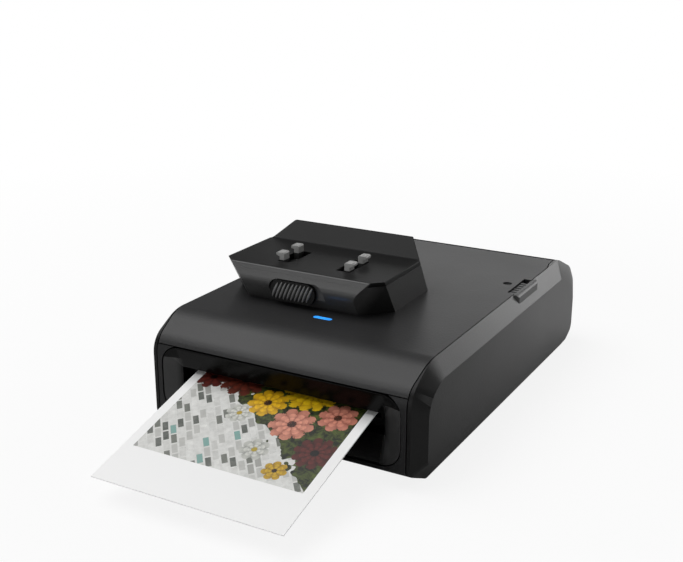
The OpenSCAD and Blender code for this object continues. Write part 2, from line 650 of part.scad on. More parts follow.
module pickup_shaft() {
    color([0.2, 0.2, 0.21]) {
        shaft(pick_c, -cheek - plate_t - 0.6, gear_x + gear_w + 0.2);
        for (s = [-1, 1]) rod_x(s * 12 - 3.9, s * 12 + 3.9, pick_c, pick_r - 1.2);
    }
}
module pickup_tyres() {
    color([0.25, 0.25, 0.26]) for (s = [-1, 1]) difference() {
        rod_x(s * 12 - 3.6, s * 12 + 3.6, pick_c, pick_r);
        rod_x(s * 12 - 5, s * 12 + 5, pick_c, pick_r - 1.2);
        for (a = [0 : 20 : 340]) translate([s * 12, pick_c[0], pick_c[1]]) rotate([a, 0, 0])
            box([-5, -0.2, pick_r - 0.3], [5, 0.2, pick_r + 1]);
    }
}
module pickup_gear() {
    color([0.85, 0.84, 0.8]) difference() {
        ring_gear(n_pick, gear_m, gear_x, gear_x + gear_w, pick_c, ph_pick, shaft_r);
        for (a = [0 : 60 : 300]) translate([gear_x - 1, pick_c[0], pick_c[1]]) rotate([a, 0, 0])
            translate([0, 4.2, 0]) rotate([0, 90, 0]) cylinder(h = 5, r = 1.1);
    }
}
module motor_pinion() {
    color([0.78, 0.65, 0.35]) ring_gear(n_pinion, gear_m, gear2_x, gear2_x + 1.6, motor_c, ph_pinion, 0.75);
}
module compound_gear() {
    color([0.85, 0.84, 0.8]) {
        ring_gear(n_small, gear_m, gear_x, gear2_x + e, comp_c, ph_small, 0.75 + run);
        ring_gear(n_big, gear_m, gear2_x, gear2_x + 1.6, comp_c, ph_small, 0.75 + run);
    }
}
module front_idler_gear() {
    color([0.85, 0.84, 0.8]) ring_gear(n_idle, gear_m, gear_x, gear_x + gear_w, idle1_c, ph_idle1, 0.75 + run);
}
module rear_idler_gear() {
    color([0.85, 0.84, 0.8]) ring_gear(n_idle, gear_m, gear_x, gear_x + gear_w, idle2_c, ph_idle2, 0.75 + run);
}
module gear_studs() {
    x0 = cheek + plate_t;
    color([0.7, 0.7, 0.72]) {
        for (c = [idle1_c, idle2_c]) {
            rod_x(x0, gear_x + gear_w + 0.7, c, 0.75);
            rod_x(gear_x + gear_w + 0.2, gear_x + gear_w + 0.7, c, 1.2);
            rod_x(x0, gear_x - 0.1, c, 1.2);
        }
        rod_x(x0, gear2_x + 2.2, comp_c, 0.75);
        rod_x(gear2_x + 1.75, gear2_x + 2.2, comp_c, 1.2);
        rod_x(x0, gear_x - 0.1, comp_c, 1.2);
    }
}
module drive_motor() {
    x1 = cheek;
    color([0.66, 0.67, 0.69]) {
        rod_x(x1 - motor_l, x1, motor_c, motor_r);
        rod_x(x1 - e, x1 + plate_t, motor_c, 2);
        rod_x(x1 - e, gear2_x + 1.9, motor_c, 0.7);
        // terminal block
        box([x1 - motor_l + 1, motor_c[0] + motor_r - 0.6, motor_c[1] - 3],
            [x1 - 3, motor_c[0] + motor_r + 1.4, motor_c[1] + 2]);
    }
}
module pinch_roller() {
    color([0.45, 0.45, 0.46]) {
        rod_x(-cheek - plate_t + 0.1, cheek + plate_t - 0.1, pinch_c, 0.8);
        for (x = [-16, 0, 16]) rod_x(x - 5, x + 5, pinch_c, pinch_r);
    }
}
module battery_pack() {
    x = batt_w / 2; y0 = board_y0 + 4.2;
    color([0.35, 0.37, 0.4]) {
        translate([0, y0 + batt_l / 2, wall]) rotate([0, 0, 0]) intersection() {
            translate([0, 0, batt_t / 2]) rotate([90, 0, 0]) translate([0, 0, -batt_l / 2])
                linear_extrude(batt_l) rrect(batt_w, batt_t, 2);
            linear_extrude(batt_t) rrect(batt_w, batt_l, 1.5);
        }
        box([-x + 4, y0 - 1.6, wall + 1], [x - 4, y0 + e, wall + batt_t - 1.4]);
    }
}
module main_board() {
    y0 = board_y0; y1 = board_y1; z = board_z + board_t;
    color([0.06, 0.28, 0.16]) difference() {
        translate([0, (y0 + y1) / 2, board_z]) linear_extrude(board_t) rrect(cheek * 2, y1 - y0, 1.5);
        for (x = [-1, 1], y = post_ys)
            translate([x * 23, y, board_z - 1]) cylinder(h = 3, r = 1.1);
    }
    color([0.08, 0.08, 0.09]) {
        box([-9, y0 + 12, z - e], [1, y0 + 22, z + 1]);
        box([6, y0 + 14, z - e], [13, y0 + 19, z + 0.9]);
        box([-20, y0 + 26, z - e], [-12, y0 + 32, z + 1.2]);
        for (i = [0 : 4]) box([4 + i * 3, y0 + 28, z - e], [5.4 + i * 3, y0 + 30.4, z + 0.8]);
        box([-18, y0 + 2, z - e], [0, y0 + 5.5, z + 1.8]);
    }
}
module usb_c_port() {
    zc = port_z + 1.62;
    color([0.78, 0.79, 0.8]) {
        difference() {
            along_y(yb - 7.8, yb - 0.6) translate([port_x, zc]) stadium(8.94, 3.2);
            along_y(yb - 6.6, yb) translate([port_x, zc]) stadium(8.34, 2.56);
        }
        box([port_x - 3.3, yb - 6.8, zc - 0.35], [port_x + 3.3, yb - 1.4, zc + 0.35]);
    }
}
module power_switch() {
    z = board_z + board_t;
    color([0.15, 0.15, 0.16]) {
        box([button_x - 3, board_y1 - 4, z], [button_x + 3, board_y1 - 0.6, z + 3.4]);
        rod_y(board_y1 - 0.7, board_y1 + 0.1, button_x, button_z, 0.8);
    }
}
module power_button() {
    y1 = yb + 0.35; y0 = board_y1 + 0.1 + button_travel + 0.1;
    color([0.22, 0.22, 0.23]) {
        difference() {
            along_y(yb - wall - 0.3, y1) translate([button_x, button_z]) stadium(button_l, button_h);
            along_y(y1 - 0.15, y1 + 1) translate([button_x, button_z]) stadium(button_l - 1.4, button_h - 1.4);
        }
        along_y(y0, yb - wall - 0.2) translate([button_x, button_z]) stadium(button_l + 2.4, button_h + 1);
    }
}

// ---------- cover ----------
module top_cover() {
    ribx = [-26, 26];
    zi = body_h - wall;
    color([0.14, 0.14, 0.15]) difference() {
        union() {
            cover_skin(0);
            // hinge barrel along the rear edge
            rod_x(-band_half + 0.2, band_half - 0.2, [hinge_y, hinge_z], barrel_r - 0.08);
            box([-band_half + 0.2, hinge_y - 4, hinge_z - 0.6], [band_half - 0.2, hinge_y, body_h - wall + e]);
            // long ribs beside the pressure plate, cross ribs in front of it
            for (x = [-1, 1]) box([x * 31.4 - rib_t / 2, yf + 12, zi - 2.2],
                [x * 31.4 + rib_t / 2, hinge_y - 2, zi + e]);
            box([-31.4, yf + 18, zi - 1.4], [31.4, yf + 18 + rib_t, zi + e]);
            box([-31.4, hinge_y - 9, zi - 2.2], [31.4, hinge_y - 9 + rib_t, zi + e]);
            // guide posts of the pressure plate
            for (x = [-1, 1], y = press_ys) translate([x * 15, y, zi - 2.4]) cylinder(h = 2.4 + e, r = 1.7);
        }
        // finger notch
        box([cover_half - notch_w, notch_y - notch_l / 2, body_h - wall - 1],
            [cover_half + 2, notch_y + notch_l / 2, body_h + 1]);
        // status light
        translate([led_x, yf + led_in, zi - 1]) linear_extrude(wall + 2) stadium(led_l, led_w);
        // round recess beside the catch
        translate([cover_half - 4.6, notch_y + 0.6, body_h - dot_t]) cylinder(h = 2, r = dot_r);
        // hinge bores
        for (s = [0, 1]) mirror([s, 0, 0])
            rod_x(band_half - 3.4, band_half + 1, [hinge_y, hinge_z], pin_r + run);
        // holes for the dock screws
        for (p = dock_screw_pts()) translate([p[0], p[1], zi - 1]) cylinder(h = 4, r = 1.1);
        // clearance of the pressure plate's pins
        for (x = [-1, 1], y = press_ys) translate([x * 15, y, zi - 3]) cylinder(h = 3.2, r = 1.1);
    }
}
module led_window() {
    zi = body_h - wall;
    color([0.25, 0.6, 0.95]) {
        translate([led_x, yf + led_in, zi - e]) linear_extrude(wall - 0.05 + e)
            stadium(led_l - 0.06, led_w - 0.06);
        translate([led_x, yf + led_in, zi - 1]) linear_extrude(1) stadium(led_l + 2, led_w + 2);
    }
}
function press_z() = sheet_top + 4.5;
module pressure_plate() {
    z = press_z();
    color([0.6, 0.61, 0.63]) {
        difference() {
            translate([0, -3, z]) linear_extrude(0.8) rrect(44, 44, 3);
            for (x = [-10, 10]) translate([x, -3, z - 1]) linear_extrude(3) rrect(9, 26, 2);
            translate([0, -3, z - 1]) linear_extrude(3) rrect(5, 26, 2);
        }
        // guide pins that slide in the cover's posts
        for (x = [-1, 1], y = press_ys) translate([x * 15, y, z + 0.8 - e])
            cylinder(h = body_h - wall - 1.9 - z - 0.8, r = 1.0);
    }
}
module pressure_springs() {
    z = press_z() + 0.8 + 0.02;
    color([0.75, 0.75, 0.77]) for (x = [-1, 1], y = press_ys) translate([x * 15, y, z])
        coil(2.2, 0.4, body_h - wall - z - 0.02, 3);
}
module cover_catch() {
    l = notch_l - 2 * gap - catch_travel; y0 = notch_y - notch_l / 2 + gap;
    x0 = cover_half - notch_w + gap; x1 = cover_half + seam - 0.2; z1 = body_h - 0.3;
    color([0.1, 0.1, 0.11]) {
        box([x0, y0, z1 - 1.4], [x1, y0 + l, z1 - 0.5]);
        // grip ribs
        for (i = [0 : catch_ribs - 1]) along_x(x0, x1)
            translate([y0 + 0.6 + i * (l - 1.2) / (catch_ribs - 1), z1 - 0.51])
                polygon([[-0.6, 0], [0.6, 0], [0.3, 0.51], [-0.3, 0.51]]);
        // stem and shoe running in the side shell's track
        box([band_half + seam + 0.1, y0 + 1, body_h - 6.1], [x1, y0 + l - 1, z1 - 1.1]);
        // nose that keeps the cover's edge
        box([x0 + 0.1, y0 + 2, z1 - 1.9], [x1, y0 + 4, z1 - 1.1]);
    }
}
module catch_spring() {
    l = notch_l - 2 * gap - catch_travel; y0 = notch_y - notch_l / 2 + gap;
    x = (band_half + seam + 0.1 + cover_half + seam - 0.2) / 2;
    color([0.75, 0.75, 0.77]) translate([x, y0 + l - 1 + 0.02, body_h - 4.8]) rotate([-90, 0, 0])
        coil(0.3, 0.12, notch_y + notch_l / 2 - y0 - l + 1 - 0.04, 5, 8, 4);
}

// ---------- camera dock ----------
function dock_screw_pts() = [for (x = [dx0 + 8, dx1 - 8], y = [dyf + 5, dyb - 5]) [x, y]];
function dock_side() = round_poly([[dyf, dz0], [dyb, dz0], [dyb, dz1 - 3], [dyb - 1.2, dz1 + rest_h - 0.9],
    [dyb - 3.4, dz1 + rest_h + 0.1], [rest_y, dz1], [face_y + 1.5, dz1],
    [face_y, dz1 - 4.2]], [0, 0, 4, 1.4, 1, 1.6, 0.6, 4]);
// slanted facet across a lower front corner
module facet(s) {
    translate([dock_x, 0, 0]) mirror([s, 0, 0]) translate([dock_w / 2 - 6.8, dyf, dz0])
        rotate([0, 24.5, -45]) box([0, -25, -25], [20, 25, 25]);
}
// slanted facet across a rear corner, leaning in with the backrest
module rear_facet(s) {
    translate([dock_x, 0, 0]) mirror([s, 0, 0]) translate([dock_w / 2 + 1.4, dyb - 6.4, dz0])
        rotate([0, 0, 30]) rotate([0, -15.7, 0]) box([0, -25, -25], [20, 25, 25]);
}
module dock_block() {
    difference() {
        along_x(dx0, dx1) polygon(dock_side());
        facet(0);
        facet(1);
        rear_facet(0);
        rear_facet(1);
        // tapered ends of the backrest
        for (s = [0, 1]) translate([dock_x, 0, 0]) mirror([s, 0, 0]) along_y(rest_y - 6, dyb + 1)
            polygon([[dock_w / 2 + 1, dz1 - 0.5], [dock_w / 2 + 1, dz1 + rest_h + 2],
                [dock_w / 2 - 5.5, dz1 + rest_h + 2], [dock_w / 2 - 4.5, dz1 + rest_h + 0.1],
                [dock_w / 2 - 2.7, dz1 + rest_h - 0.4], [dock_w / 2 - 1.4, dz1 + rest_h - 1.3],
                [dock_w / 2 - 0.4, dz1 + 1.2], [dock_w / 2, dz1]]);
    }
}
module dock_housing() {
    color([0.26, 0.26, 0.27]) difference() {
        union() {
            difference() {
                intersection() {
                    dock_block();
                    box([dx0 - 1, face_y - 1, dz0], [dx1 + 1, dyb + 1, deck_z]);
                }
                // hollow for the hook slides
                box([dx0 + 5.2, dyf + dock_wall, dz0 + 1.4], [dx1 - 5.2, dyb - 3.4, deck_z + 1]);
                // pocket of the release button
                along_y(face_y - 1, face_y + 1.7) translate([rel_x + release_travel / 2, rel_z])
                    stadium(release_l + release_travel + 2 * gap + 0.6, release_h + 2 * gap);
                // slot for its tongue
                box([rel_x - 3 - gap, face_y, rel_z - 0.8 - gap],
                    [rel_x + 3 + release_travel + gap, dyf + 3, rel_z + 0.8 + gap]);
            }
            // pivot of the pinion
            translate([hook_x, hook_y, dz0 + 1.4 - e]) cylinder(h = carr_z0 - dz0 - 1.6, r = 1.6);
            translate([hook_x, hook_y, dz0 + 1.4]) cylinder(h = carr_z1 - dz0 - 1.4, r = 0.7);
            // rails that carry the slides
            for (y = [hook_y - 4.6, hook_y + 3.8]) box([dx0 + 5.2 - e, y, dz0 + 1.4 - e],
                [dx1 - 5.2 + e, y + 0.8, carr_z0 - 0.1]);
            // screw bosses
            for (p = dock_screw_pts()) translate([p[0], p[1], dz0 + 1.4 - e]) cylinder(h = 4, r = 1.7);
        }
        for (p = dock_screw_pts()) translate([p[0], p[1], dz0 - e]) cylinder(h = 5, r = 0.85);
    }
}
module dock_deck() {
    tr = release_travel + gap;
    color([0.17, 0.17, 0.18]) difference() {
        intersection() {
            dock_block();
            box([dx0 - 1, face_y - 1, deck_z], [dx1 + 1, dyb + 1, dz1 + rest_h + 2]);
        }
        // hook slots
        yh = hook_dy / 2 + 1.3 + gap;
        box([hook_x - hook_dx / 2 - 0.75 - gap, hook_y - yh, deck_z - 1],
            [hook_x - hook_dx / 2 + 0.75 + tr, hook_y + yh, dz1 + 1]);
        box([hook_x + hook_dx / 2 - 0.75 - tr, hook_y - yh, deck_z - 1],
            [hook_x + hook_dx / 2 + 0.75 + gap, hook_y + yh, dz1 + 1]);
    }
}
// one hook, nose towards -X
module hook(x, y) {
    along_y(y - 1.3, y + 1.3) translate([x, 0]) polygon([[-0.75, carr_z1 - e], [0.75, carr_z1 - e],
        [0.75, dz1 + hook_h - 0.3], [0.45, dz1 + hook_h], [-0.45 - hook_nose, dz1 + hook_h],
        [-0.75 - hook_nose, dz1 + hook_h - 0.3], [-0.75 - hook_nose, dz1 + hook_h - 0.9],
        [-0.75, dz1 + hook_h - 1.1]]);
}
// carriage plate with two hooks and a rack arm; drawn for the left side
module hook_slide(s) {
    x = -hook_dx / 2; pr = pinion_pr; n = 5;
    translate([hook_x, hook_y, 0]) {
        hook(x, -hook_dy / 2);
        hook(x, hook_dy / 2);
        box([x - 1.9, -6.5, carr_z0], [x + 1.6, 6.5, carr_z1]);
        // rack arm past the pinion
        box([x + 1.5, s * (pr + 1.7) - 0.9, carr_z0], [pr + 1.7, s * (pr + 1.7) + 0.9, carr_z1]);
        for (i = [-n : n]) if (i * PI * pinion_m > x + 2.2 && i * PI * pinion_m < pr + 1.4)
            translate([i * PI * pinion_m, s * (pr + 0.82), carr_z0]) linear_extrude(carr_t)
                polygon([[-0.36, 0.05 * s], [-0.1, -0.97 * s], [0.1, -0.97 * s], [0.36, 0.05 * s]]);
    }
}
module left_hooks() { color([0.58, 0.58, 0.57]) hook_slide(1); }
module right_hooks() {
    color([0.58, 0.58, 0.57]) translate([hook_x, hook_y, 0]) rotate([0, 0, 180])
        translate([-hook_x, -hook_y, 0]) hook_slide(1);
}
module hook_pinion() {
    color([0.85, 0.84, 0.8]) translate([hook_x, hook_y, carr_z0 + 0.1]) linear_extrude(carr_t - 0.2)
        difference() {
            polygon(tooth_pts(pinion_n, pinion_m, 90 + 180 / pinion_n));
            circle(r = 0.7 + run);
        }
}
module release_slider() {
    y0 = face_y + 0.25; yi = dyf + dock_wall + gap;
    color([0.2, 0.2, 0.21]) {
        along_y(y0 + 0.3, face_y + 1.5) translate([rel_x, rel_z]) stadium(release_l, release_h);
        // slanted grip ribs, shorter towards the round ends
        for (i = [0 : release_ribs - 1]) let (u = (i - (release_ribs - 1) / 2) * (release_l - 3)
            / (release_ribs - 1), v = max(0, abs(u) - (release_l - release_h) / 2),
            h = sqrt(pow(release_h / 2 - 0.5, 2) - v * v)) translate([rel_x + u, y0, rel_z])
                rotate([0, 28, 0]) box([-0.38, -0.2, -h], [0.38, 0.5, h]);
        // tongue through the wall, cross link and the web that pushes the left hook slide
        box([rel_x - 3, face_y + 1.4, rel_z - 0.8], [rel_x + 3, yi, rel_z + 0.8]);
        box([hook_x - hook_dx / 2 - 1.9, yi - e, rel_z - 0.8], [rel_x + 3, yi + 1.05, rel_z + 0.8]);
        box([hook_x - hook_dx / 2 - 1.9, yi + 0.2, rel_z + 0.8 - e],
            [hook_x - hook_dx / 2 + 1.2, yi + 1.05, carr_z0]);
    }
}
module release_spring() {
    x0 = hook_x - hook_dx / 2 - 1.9; x1 = dx0 + 5.2;
    color([0.75, 0.75, 0.77]) translate([x1 + 0.02, hook_y, carr_z0 + 0.2]) rotate([0, 90, 0])
        coil(0.9, 0.25, max(0.8, x0 - x1 - 0.04), 3, 10, 4);
}
module dock_screws() {
    zi = body_h - wall;
    color([0.55, 0.55, 0.57]) for (p = dock_screw_pts()) translate([p[0], p[1], 0]) {
        translate([0, 0, zi - 0.8]) difference() {
            cylinder(h = 0.8, r = 1.7);
            for (a = [0, 90]) rotate([0, 0, a]) box([-1, -0.2, -e], [1, 0.2, 0.5]);
        }
        translate([0, 0, zi - e]) cylinder(h = wall + 4, r = 0.8);
    }
}

// ---------- sheet ----------
function sheet_line(d) = let (yk = yf + 5.2, t = bend_r * tan(droop / 2), yo = yf - sheet_out,
    k = tan(droop), s0 = yk + t) concat(
    [[yk + t + sheet_flat(), path_z + d], [s0, path_z + d]],
    [for (i = [1 : 8]) let (a = droop * i / 8) [s0 - (bend_r + d) * sin(a), path_z - bend_r + (bend_r + d) * cos(a)]],
    [[yo - d * sin(droop), path_z - (yk - yo) * k + d * cos(droop)]]);
// what is left of the sheet's length inside
function sheet_flat() = sheet_l - (yf + 5.2 + sheet_out - yf) / cos(droop)
    - bend_r * droop * PI / 180 + bend_r * tan(droop / 2);
module photo_print() {
    a = sheet_line(sheet_t / 2); b = sheet_line(-sheet_t / 2);
    color([0.93, 0.93, 0.92]) along_x(-sheet_w / 2, sheet_w / 2)
        polygon(concat(a, [for (i = [len(b) - 1 : -1 : 0]) b[i]]));
}

base_pan();
front_frame();
rear_panel();
left_side_shell();
right_side_shell();
exit_bezel();
chassis_left();
chassis_right();
sheet_guides();
paper_tray();
spring_bar();
battery_pack();
main_board();
usb_c_port();
power_switch();
power_button();
drive_motor();
gear_studs();
rubber_pads();
case_screws();
hinge_pins();
platen_shaft();
platen_rubber();
platen_gear();
feed_roller();
feed_gear();
pickup_shaft();
pickup_tyres();
pickup_gear();
motor_pinion();
compound_gear();
front_idler_gear();
rear_idler_gear();
pinch_roller();
print_head();
head_bracket();
head_springs();
top_cover();
led_window();
pressure_plate();
pressure_springs();
cover_catch();
catch_spring();
dock_housing();
dock_deck();
dock_screws();
release_slider();
left_hooks();
right_hooks();
hook_pinion();
release_spring();
photo_print();
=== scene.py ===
import json
import math
import bmesh
import bpy
from mathutils import Matrix, Vector


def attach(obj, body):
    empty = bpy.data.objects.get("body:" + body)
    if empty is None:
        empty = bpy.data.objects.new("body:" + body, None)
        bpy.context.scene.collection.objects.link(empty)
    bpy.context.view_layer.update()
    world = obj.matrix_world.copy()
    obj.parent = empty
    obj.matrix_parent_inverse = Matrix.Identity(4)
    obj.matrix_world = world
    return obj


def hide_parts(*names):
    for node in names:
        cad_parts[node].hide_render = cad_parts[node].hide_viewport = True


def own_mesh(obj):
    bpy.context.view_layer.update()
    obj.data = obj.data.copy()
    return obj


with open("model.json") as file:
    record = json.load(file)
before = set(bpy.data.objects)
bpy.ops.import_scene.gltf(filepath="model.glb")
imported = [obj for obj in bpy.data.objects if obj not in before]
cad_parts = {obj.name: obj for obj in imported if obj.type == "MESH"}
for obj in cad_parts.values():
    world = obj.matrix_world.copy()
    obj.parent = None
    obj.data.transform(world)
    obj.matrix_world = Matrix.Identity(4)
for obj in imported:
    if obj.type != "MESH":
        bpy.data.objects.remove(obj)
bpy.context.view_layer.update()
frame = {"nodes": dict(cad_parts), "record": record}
NODES = frame["nodes"]
BODY = {node: body for body, nodes in frame["record"]["behaviour"]["bodies"].items() for node in nodes}
MM = 0.001
scene = bpy.context.scene
scene.view_settings.view_transform = "Standard"


# ---------------------------------------------------------------- camera, fitted to the casing's edges
PHOTO_WIDTH = 683                   # pixels
FOCAL_LENGTH = 1080.464             # pixels
FILM_WIDTH = 36                     # mm
AZIMUTH = math.radians(29.283)
ELEVATION = math.radians(18.127)
CAMERA_PLACE = (0.126958, -0.251064, 0.120429)        # metres
NEAREST, FURTHEST = 0.01, 20        # metres, what the camera sees between


def photo_camera():
    back = Vector((math.sin(AZIMUTH) * math.cos(ELEVATION), -math.cos(AZIMUTH) * math.cos(ELEVATION),
                   math.sin(ELEVATION)))
    right = Vector((math.cos(AZIMUTH), math.sin(AZIMUTH), 0))
    up = back.cross(right)
    camera = bpy.data.objects.new("photo_camera", bpy.data.cameras.new("photo_camera"))
    camera.data.sensor_width = FILM_WIDTH
    camera.data.lens = FOCAL_LENGTH * FILM_WIDTH / PHOTO_WIDTH
    camera.data.clip_start = NEAREST
    camera.data.clip_end = FURTHEST
    turn = Matrix((right, up, back)).transposed().to_4x4()
    camera.matrix_world = Matrix.Translation(CAMERA_PLACE) @ turn
    scene.collection.objects.link(camera)
    scene.camera = camera


photo_camera()


# ---------------------------------------------------------------- node helpers
class Level:
    """A number that can differ over a surface. Reckoning with it adds Math nodes to its tree."""

    def __init__(self, tree, socket):
        self.tree = tree
        self.socket = socket

    def step(self, operation, other=0.0):
        node = self.tree.nodes.new("ShaderNodeMath")
        node.operation = operation
        feed_socket(self.tree, self, node.inputs[0])
        feed_socket(self.tree, other, node.inputs[1])
        return Level(self.tree, node.outputs[0])

    def __add__(self, other):
        return self.step("ADD", other)

    def __sub__(self, other):
        return self.step("SUBTRACT", other)

    def __mul__(self, other):
        return self.step("MULTIPLY", other)

    def __truediv__(self, other):
        return self.step("DIVIDE", other)

    def __pow__(self, other):
        return self.step("POWER", other)

    def __abs__(self):
        return self.step("ABSOLUTE")

    def __lt__(self, other):
        return self.step("LESS_THAN", other)

    def __gt__(self, other):
        return self.step("GREATER_THAN", other)

    def root(self):
        return self.step("SQRT")

    def at_least(self, other):
        return self.step("MAXIMUM", other)

    def clamped(self):
        """The last step kept between 0 and 1."""
        self.socket.node.use_clamp = True
        return self


def feed_socket(tree, value, socket):
    """Links a level or another node's output to the socket, or sets the socket to a plain value."""
    if isinstance(value, Level):
        value = value.socket
    if isinstance(value, bpy.types.NodeSocket):
        tree.links.new(value, socket)
    else:
        socket.default_value = value


def feed(tree, node, **sockets):
    """Fills a node's sockets by name, with _ for each space in the name."""
    for name, value in sockets.items():
        feed_socket(tree, value, node.inputs[name.replace("_", " ")])
    return node


def put(tree, kind, **sockets):
    return feed(tree, tree.nodes.new(kind), **sockets)


def put_group(tree, group, **sockets):
    node = tree.nodes.new("ShaderNodeGroup")
    node.node_tree = group
    return feed(tree, node, **sockets)


def new_group(name, inputs, outputs, kind="ShaderNodeTree"):
    """A node group; returns its tree, its inputs by name and its output node."""
    tree = bpy.data.node_groups.new(name, kind)
    for label, socket_type, default in inputs:
        socket = tree.interface.new_socket(name=label, in_out="INPUT", socket_type=socket_type)
        if default is not None:
            socket.default_value = default
    for label, socket_type in outputs:
        tree.interface.new_socket(name=label, in_out="OUTPUT", socket_type=socket_type)
    sockets = tree.nodes.new("NodeGroupInput").outputs
    given = {label: Level(tree, sockets[label]) for label, _, _ in inputs}
    return tree, given, tree.nodes.new("NodeGroupOutput")


def vector_math(tree, operation, a, b):
    node = tree.nodes.new("ShaderNodeVectorMath")
    node.operation = operation
    feed_socket(tree, a, node.inputs[0])
    feed_socket(tree, b, node.inputs["Scale" if operation == "SCALE" else 1])
    return node.outputs[0]


def split_axes(tree, vector):
    outputs = put(tree, "ShaderNodeSeparateXYZ", Vector=vector).outputs
    return {axis: Level(tree, outputs[axis]) for axis in "XYZ"}


def grey(level):
    return (level, level, level, 1)


def mix_colour(tree, factor, a, b):
    node = tree.nodes.new("ShaderNodeMix")
    node.data_type = "RGBA"
    for socket, value in zip((node.inputs[0], node.inputs[6], node.inputs[7]), (factor, a, b)):
        feed_socket(tree, value, socket)
    return node.outputs[2]


def ramp(tree, factor, stops, constant=False):
    """A colour ramp through stops of (place, grey level or colour)."""
    node = put(tree, "ShaderNodeValToRGB", Fac=factor)
    node.color_ramp.interpolation = "CONSTANT" if constant else "LINEAR"
    while len(node.color_ramp.elements) < len(stops):
        node.color_ramp.elements.new(0.5)
    for element, (place, value) in zip(node.color_ramp.elements, stops):
        element.position = place
        element.color = value if isinstance(value, tuple) else grey(value)
    return node.outputs["Color"]


def object_coords(tree):
    return tree.nodes.new("ShaderNodeTexCoord").outputs["Object"]


def noise(tree, vector, **sockets):
    return Level(tree, put(tree, "ShaderNodeTexNoise", Vector=vector, **sockets).outputs["Fac"])


def cell_distance(tree, vector, scale):
    cells = put(tree, "ShaderNodeTexVoronoi", Vector=vector, Scale=scale)
    return Level(tree, cells.outputs["Distance"])


# ---------------------------------------------------------------- effects that several finishes share
def moulded_grain():
    """Spark-eroded surface of a moulding: a colour that drifts a little, a roughness and a height."""
    tree, given, out = new_group("moulded_grain", [
        ("Colour", "NodeSocketColor", (0.04, 0.04, 0.042, 1)), ("Drift", "NodeSocketFloat", 0.12),
        ("Grain size", "NodeSocketFloat", 2600.0), ("Roughness", "NodeSocketFloat", 0.45),
        ("Spread", "NodeSocketFloat", 0.08)],
        [("Colour", "NodeSocketColor"), ("Roughness", "NodeSocketFloat"), ("Height", "NodeSocketFloat")])
    coords = object_coords(tree)
    drift = noise(tree, coords, Scale=38.0, Detail=3.0, Roughness=0.55) - 0.5
    fine = noise(tree, coords, Scale=given["Grain size"], Detail=2.0, Roughness=0.6)
    pits = cell_distance(tree, coords, given["Grain size"] * 0.55)
    shade = drift * given["Drift"] + (fine - 0.5) * given["Drift"] + 1.0
    rough = given["Roughness"] + drift * given["Spread"]
    feed(tree, out, Colour=vector_math(tree, "SCALE", given["Colour"], shade), Roughness=rough.clamped(),
         Height=fine * 0.6 + pits * 0.7)
    return tree


def handling_marks():
    """Faint dust specks and smears on dark plastic."""
    tree, given, out = new_group("handling_marks", [
        ("Colour", "NodeSocketColor", (0.04, 0.04, 0.04, 1)), ("Roughness", "NodeSocketFloat", 0.4),
        ("Amount", "NodeSocketFloat", 0.3)],
        [("Colour", "NodeSocketColor"), ("Roughness", "NodeSocketFloat")])
    coords = object_coords(tree)
    speck = cell_distance(tree, coords, 420.0) < 0.045
    dusty = noise(tree, coords, Scale=60.0, Detail=4.0, Roughness=0.6) > 0.62
    dust = speck * dusty * given["Amount"]
    smear = noise(tree, coords, Scale=22.0, Detail=5.0, Roughness=0.65, Distortion=0.6)
    rough = given["Roughness"] + (smear - 0.5) * 0.22 * given["Amount"]
    feed(tree, out, Colour=mix_colour(tree, dust, given["Colour"], (0.35, 0.35, 0.34, 1)),
         Roughness=rough.clamped())
    return tree


def tool_lines():
    """Fine lines along one axis, as on ground, drawn or brushed metal."""
    tree, given, out = new_group("tool_lines", [
        ("Vector", "NodeSocketVector", (0, 0, 0)), ("Colour", "NodeSocketColor", (0.5, 0.5, 0.52, 1)),
        ("Roughness", "NodeSocketFloat", 0.3), ("Strength", "NodeSocketFloat", 0.25)],
        [("Colour", "NodeSocketColor"), ("Roughness", "NodeSocketFloat"), ("Height", "NodeSocketFloat")])
    lines = noise(tree, given["Vector"], Scale=1.0, Detail=3.0, Roughness=0.7)
    swing = (lines - 0.5) * given["Strength"]
    rough = given["Roughness"] + swing
    feed(tree, out, Colour=vector_math(tree, "SCALE", given["Colour"], swing + 1.0),
         Roughness=rough.clamped(), Height=lines)
    return tree


GRAIN, MARKS, LINES = moulded_grain(), handling_marks(), tool_lines()


# ---------------------------------------------------------------- kinds of finish
GRAIN_DEPTH = 0.06 * MM             # relief of a moulded surface
LINE_DEPTH = 0.03 * MM              # relief of tool lines on metal


def material(name, metallic=0.0, specular=0.5, coat=0.0, coat_roughness=0.1):
    mat = bpy.data.materials.new(name)
    mat.use_nodes = True
    shader = feed(mat.node_tree, mat.node_tree.nodes["Principled BSDF"], Metallic=metallic,
                  Specular_IOR_Level=specular, Coat_Weight=coat, Coat_Roughness=coat_roughness)
    return mat, mat.node_tree, shader


def bump(tree, height, strength, depth):
    return put(tree, "ShaderNodeBump", Strength=strength, Distance=depth, Height=height).outputs["Normal"]


def worn_plastic(tree, shader, base, marks, strength):
    """Wires a grain node through the handling marks to the shader; strength is that of its relief."""
    worn = put_group(tree, MARKS, Colour=base.outputs["Colour"], Roughness=base.outputs["Roughness"],
                     Amount=marks).outputs
    feed(tree, shader, Base_Color=worn["Colour"], Roughness=worn["Roughness"],
         Normal=bump(tree, base.outputs["Height"], strength, GRAIN_DEPTH))


def moulded(name, colour, rough, grain=2600.0, strength=0.25, drift=0.12, specular=0.5):
    mat, tree, shader = material(name, specular=specular)
    base = put_group(tree, GRAIN, Colour=(*colour, 1), Drift=drift, Grain_size=grain, Roughness=rough)
    worn_plastic(tree, shader, base, marks=0.3, strength=strength)
    return mat


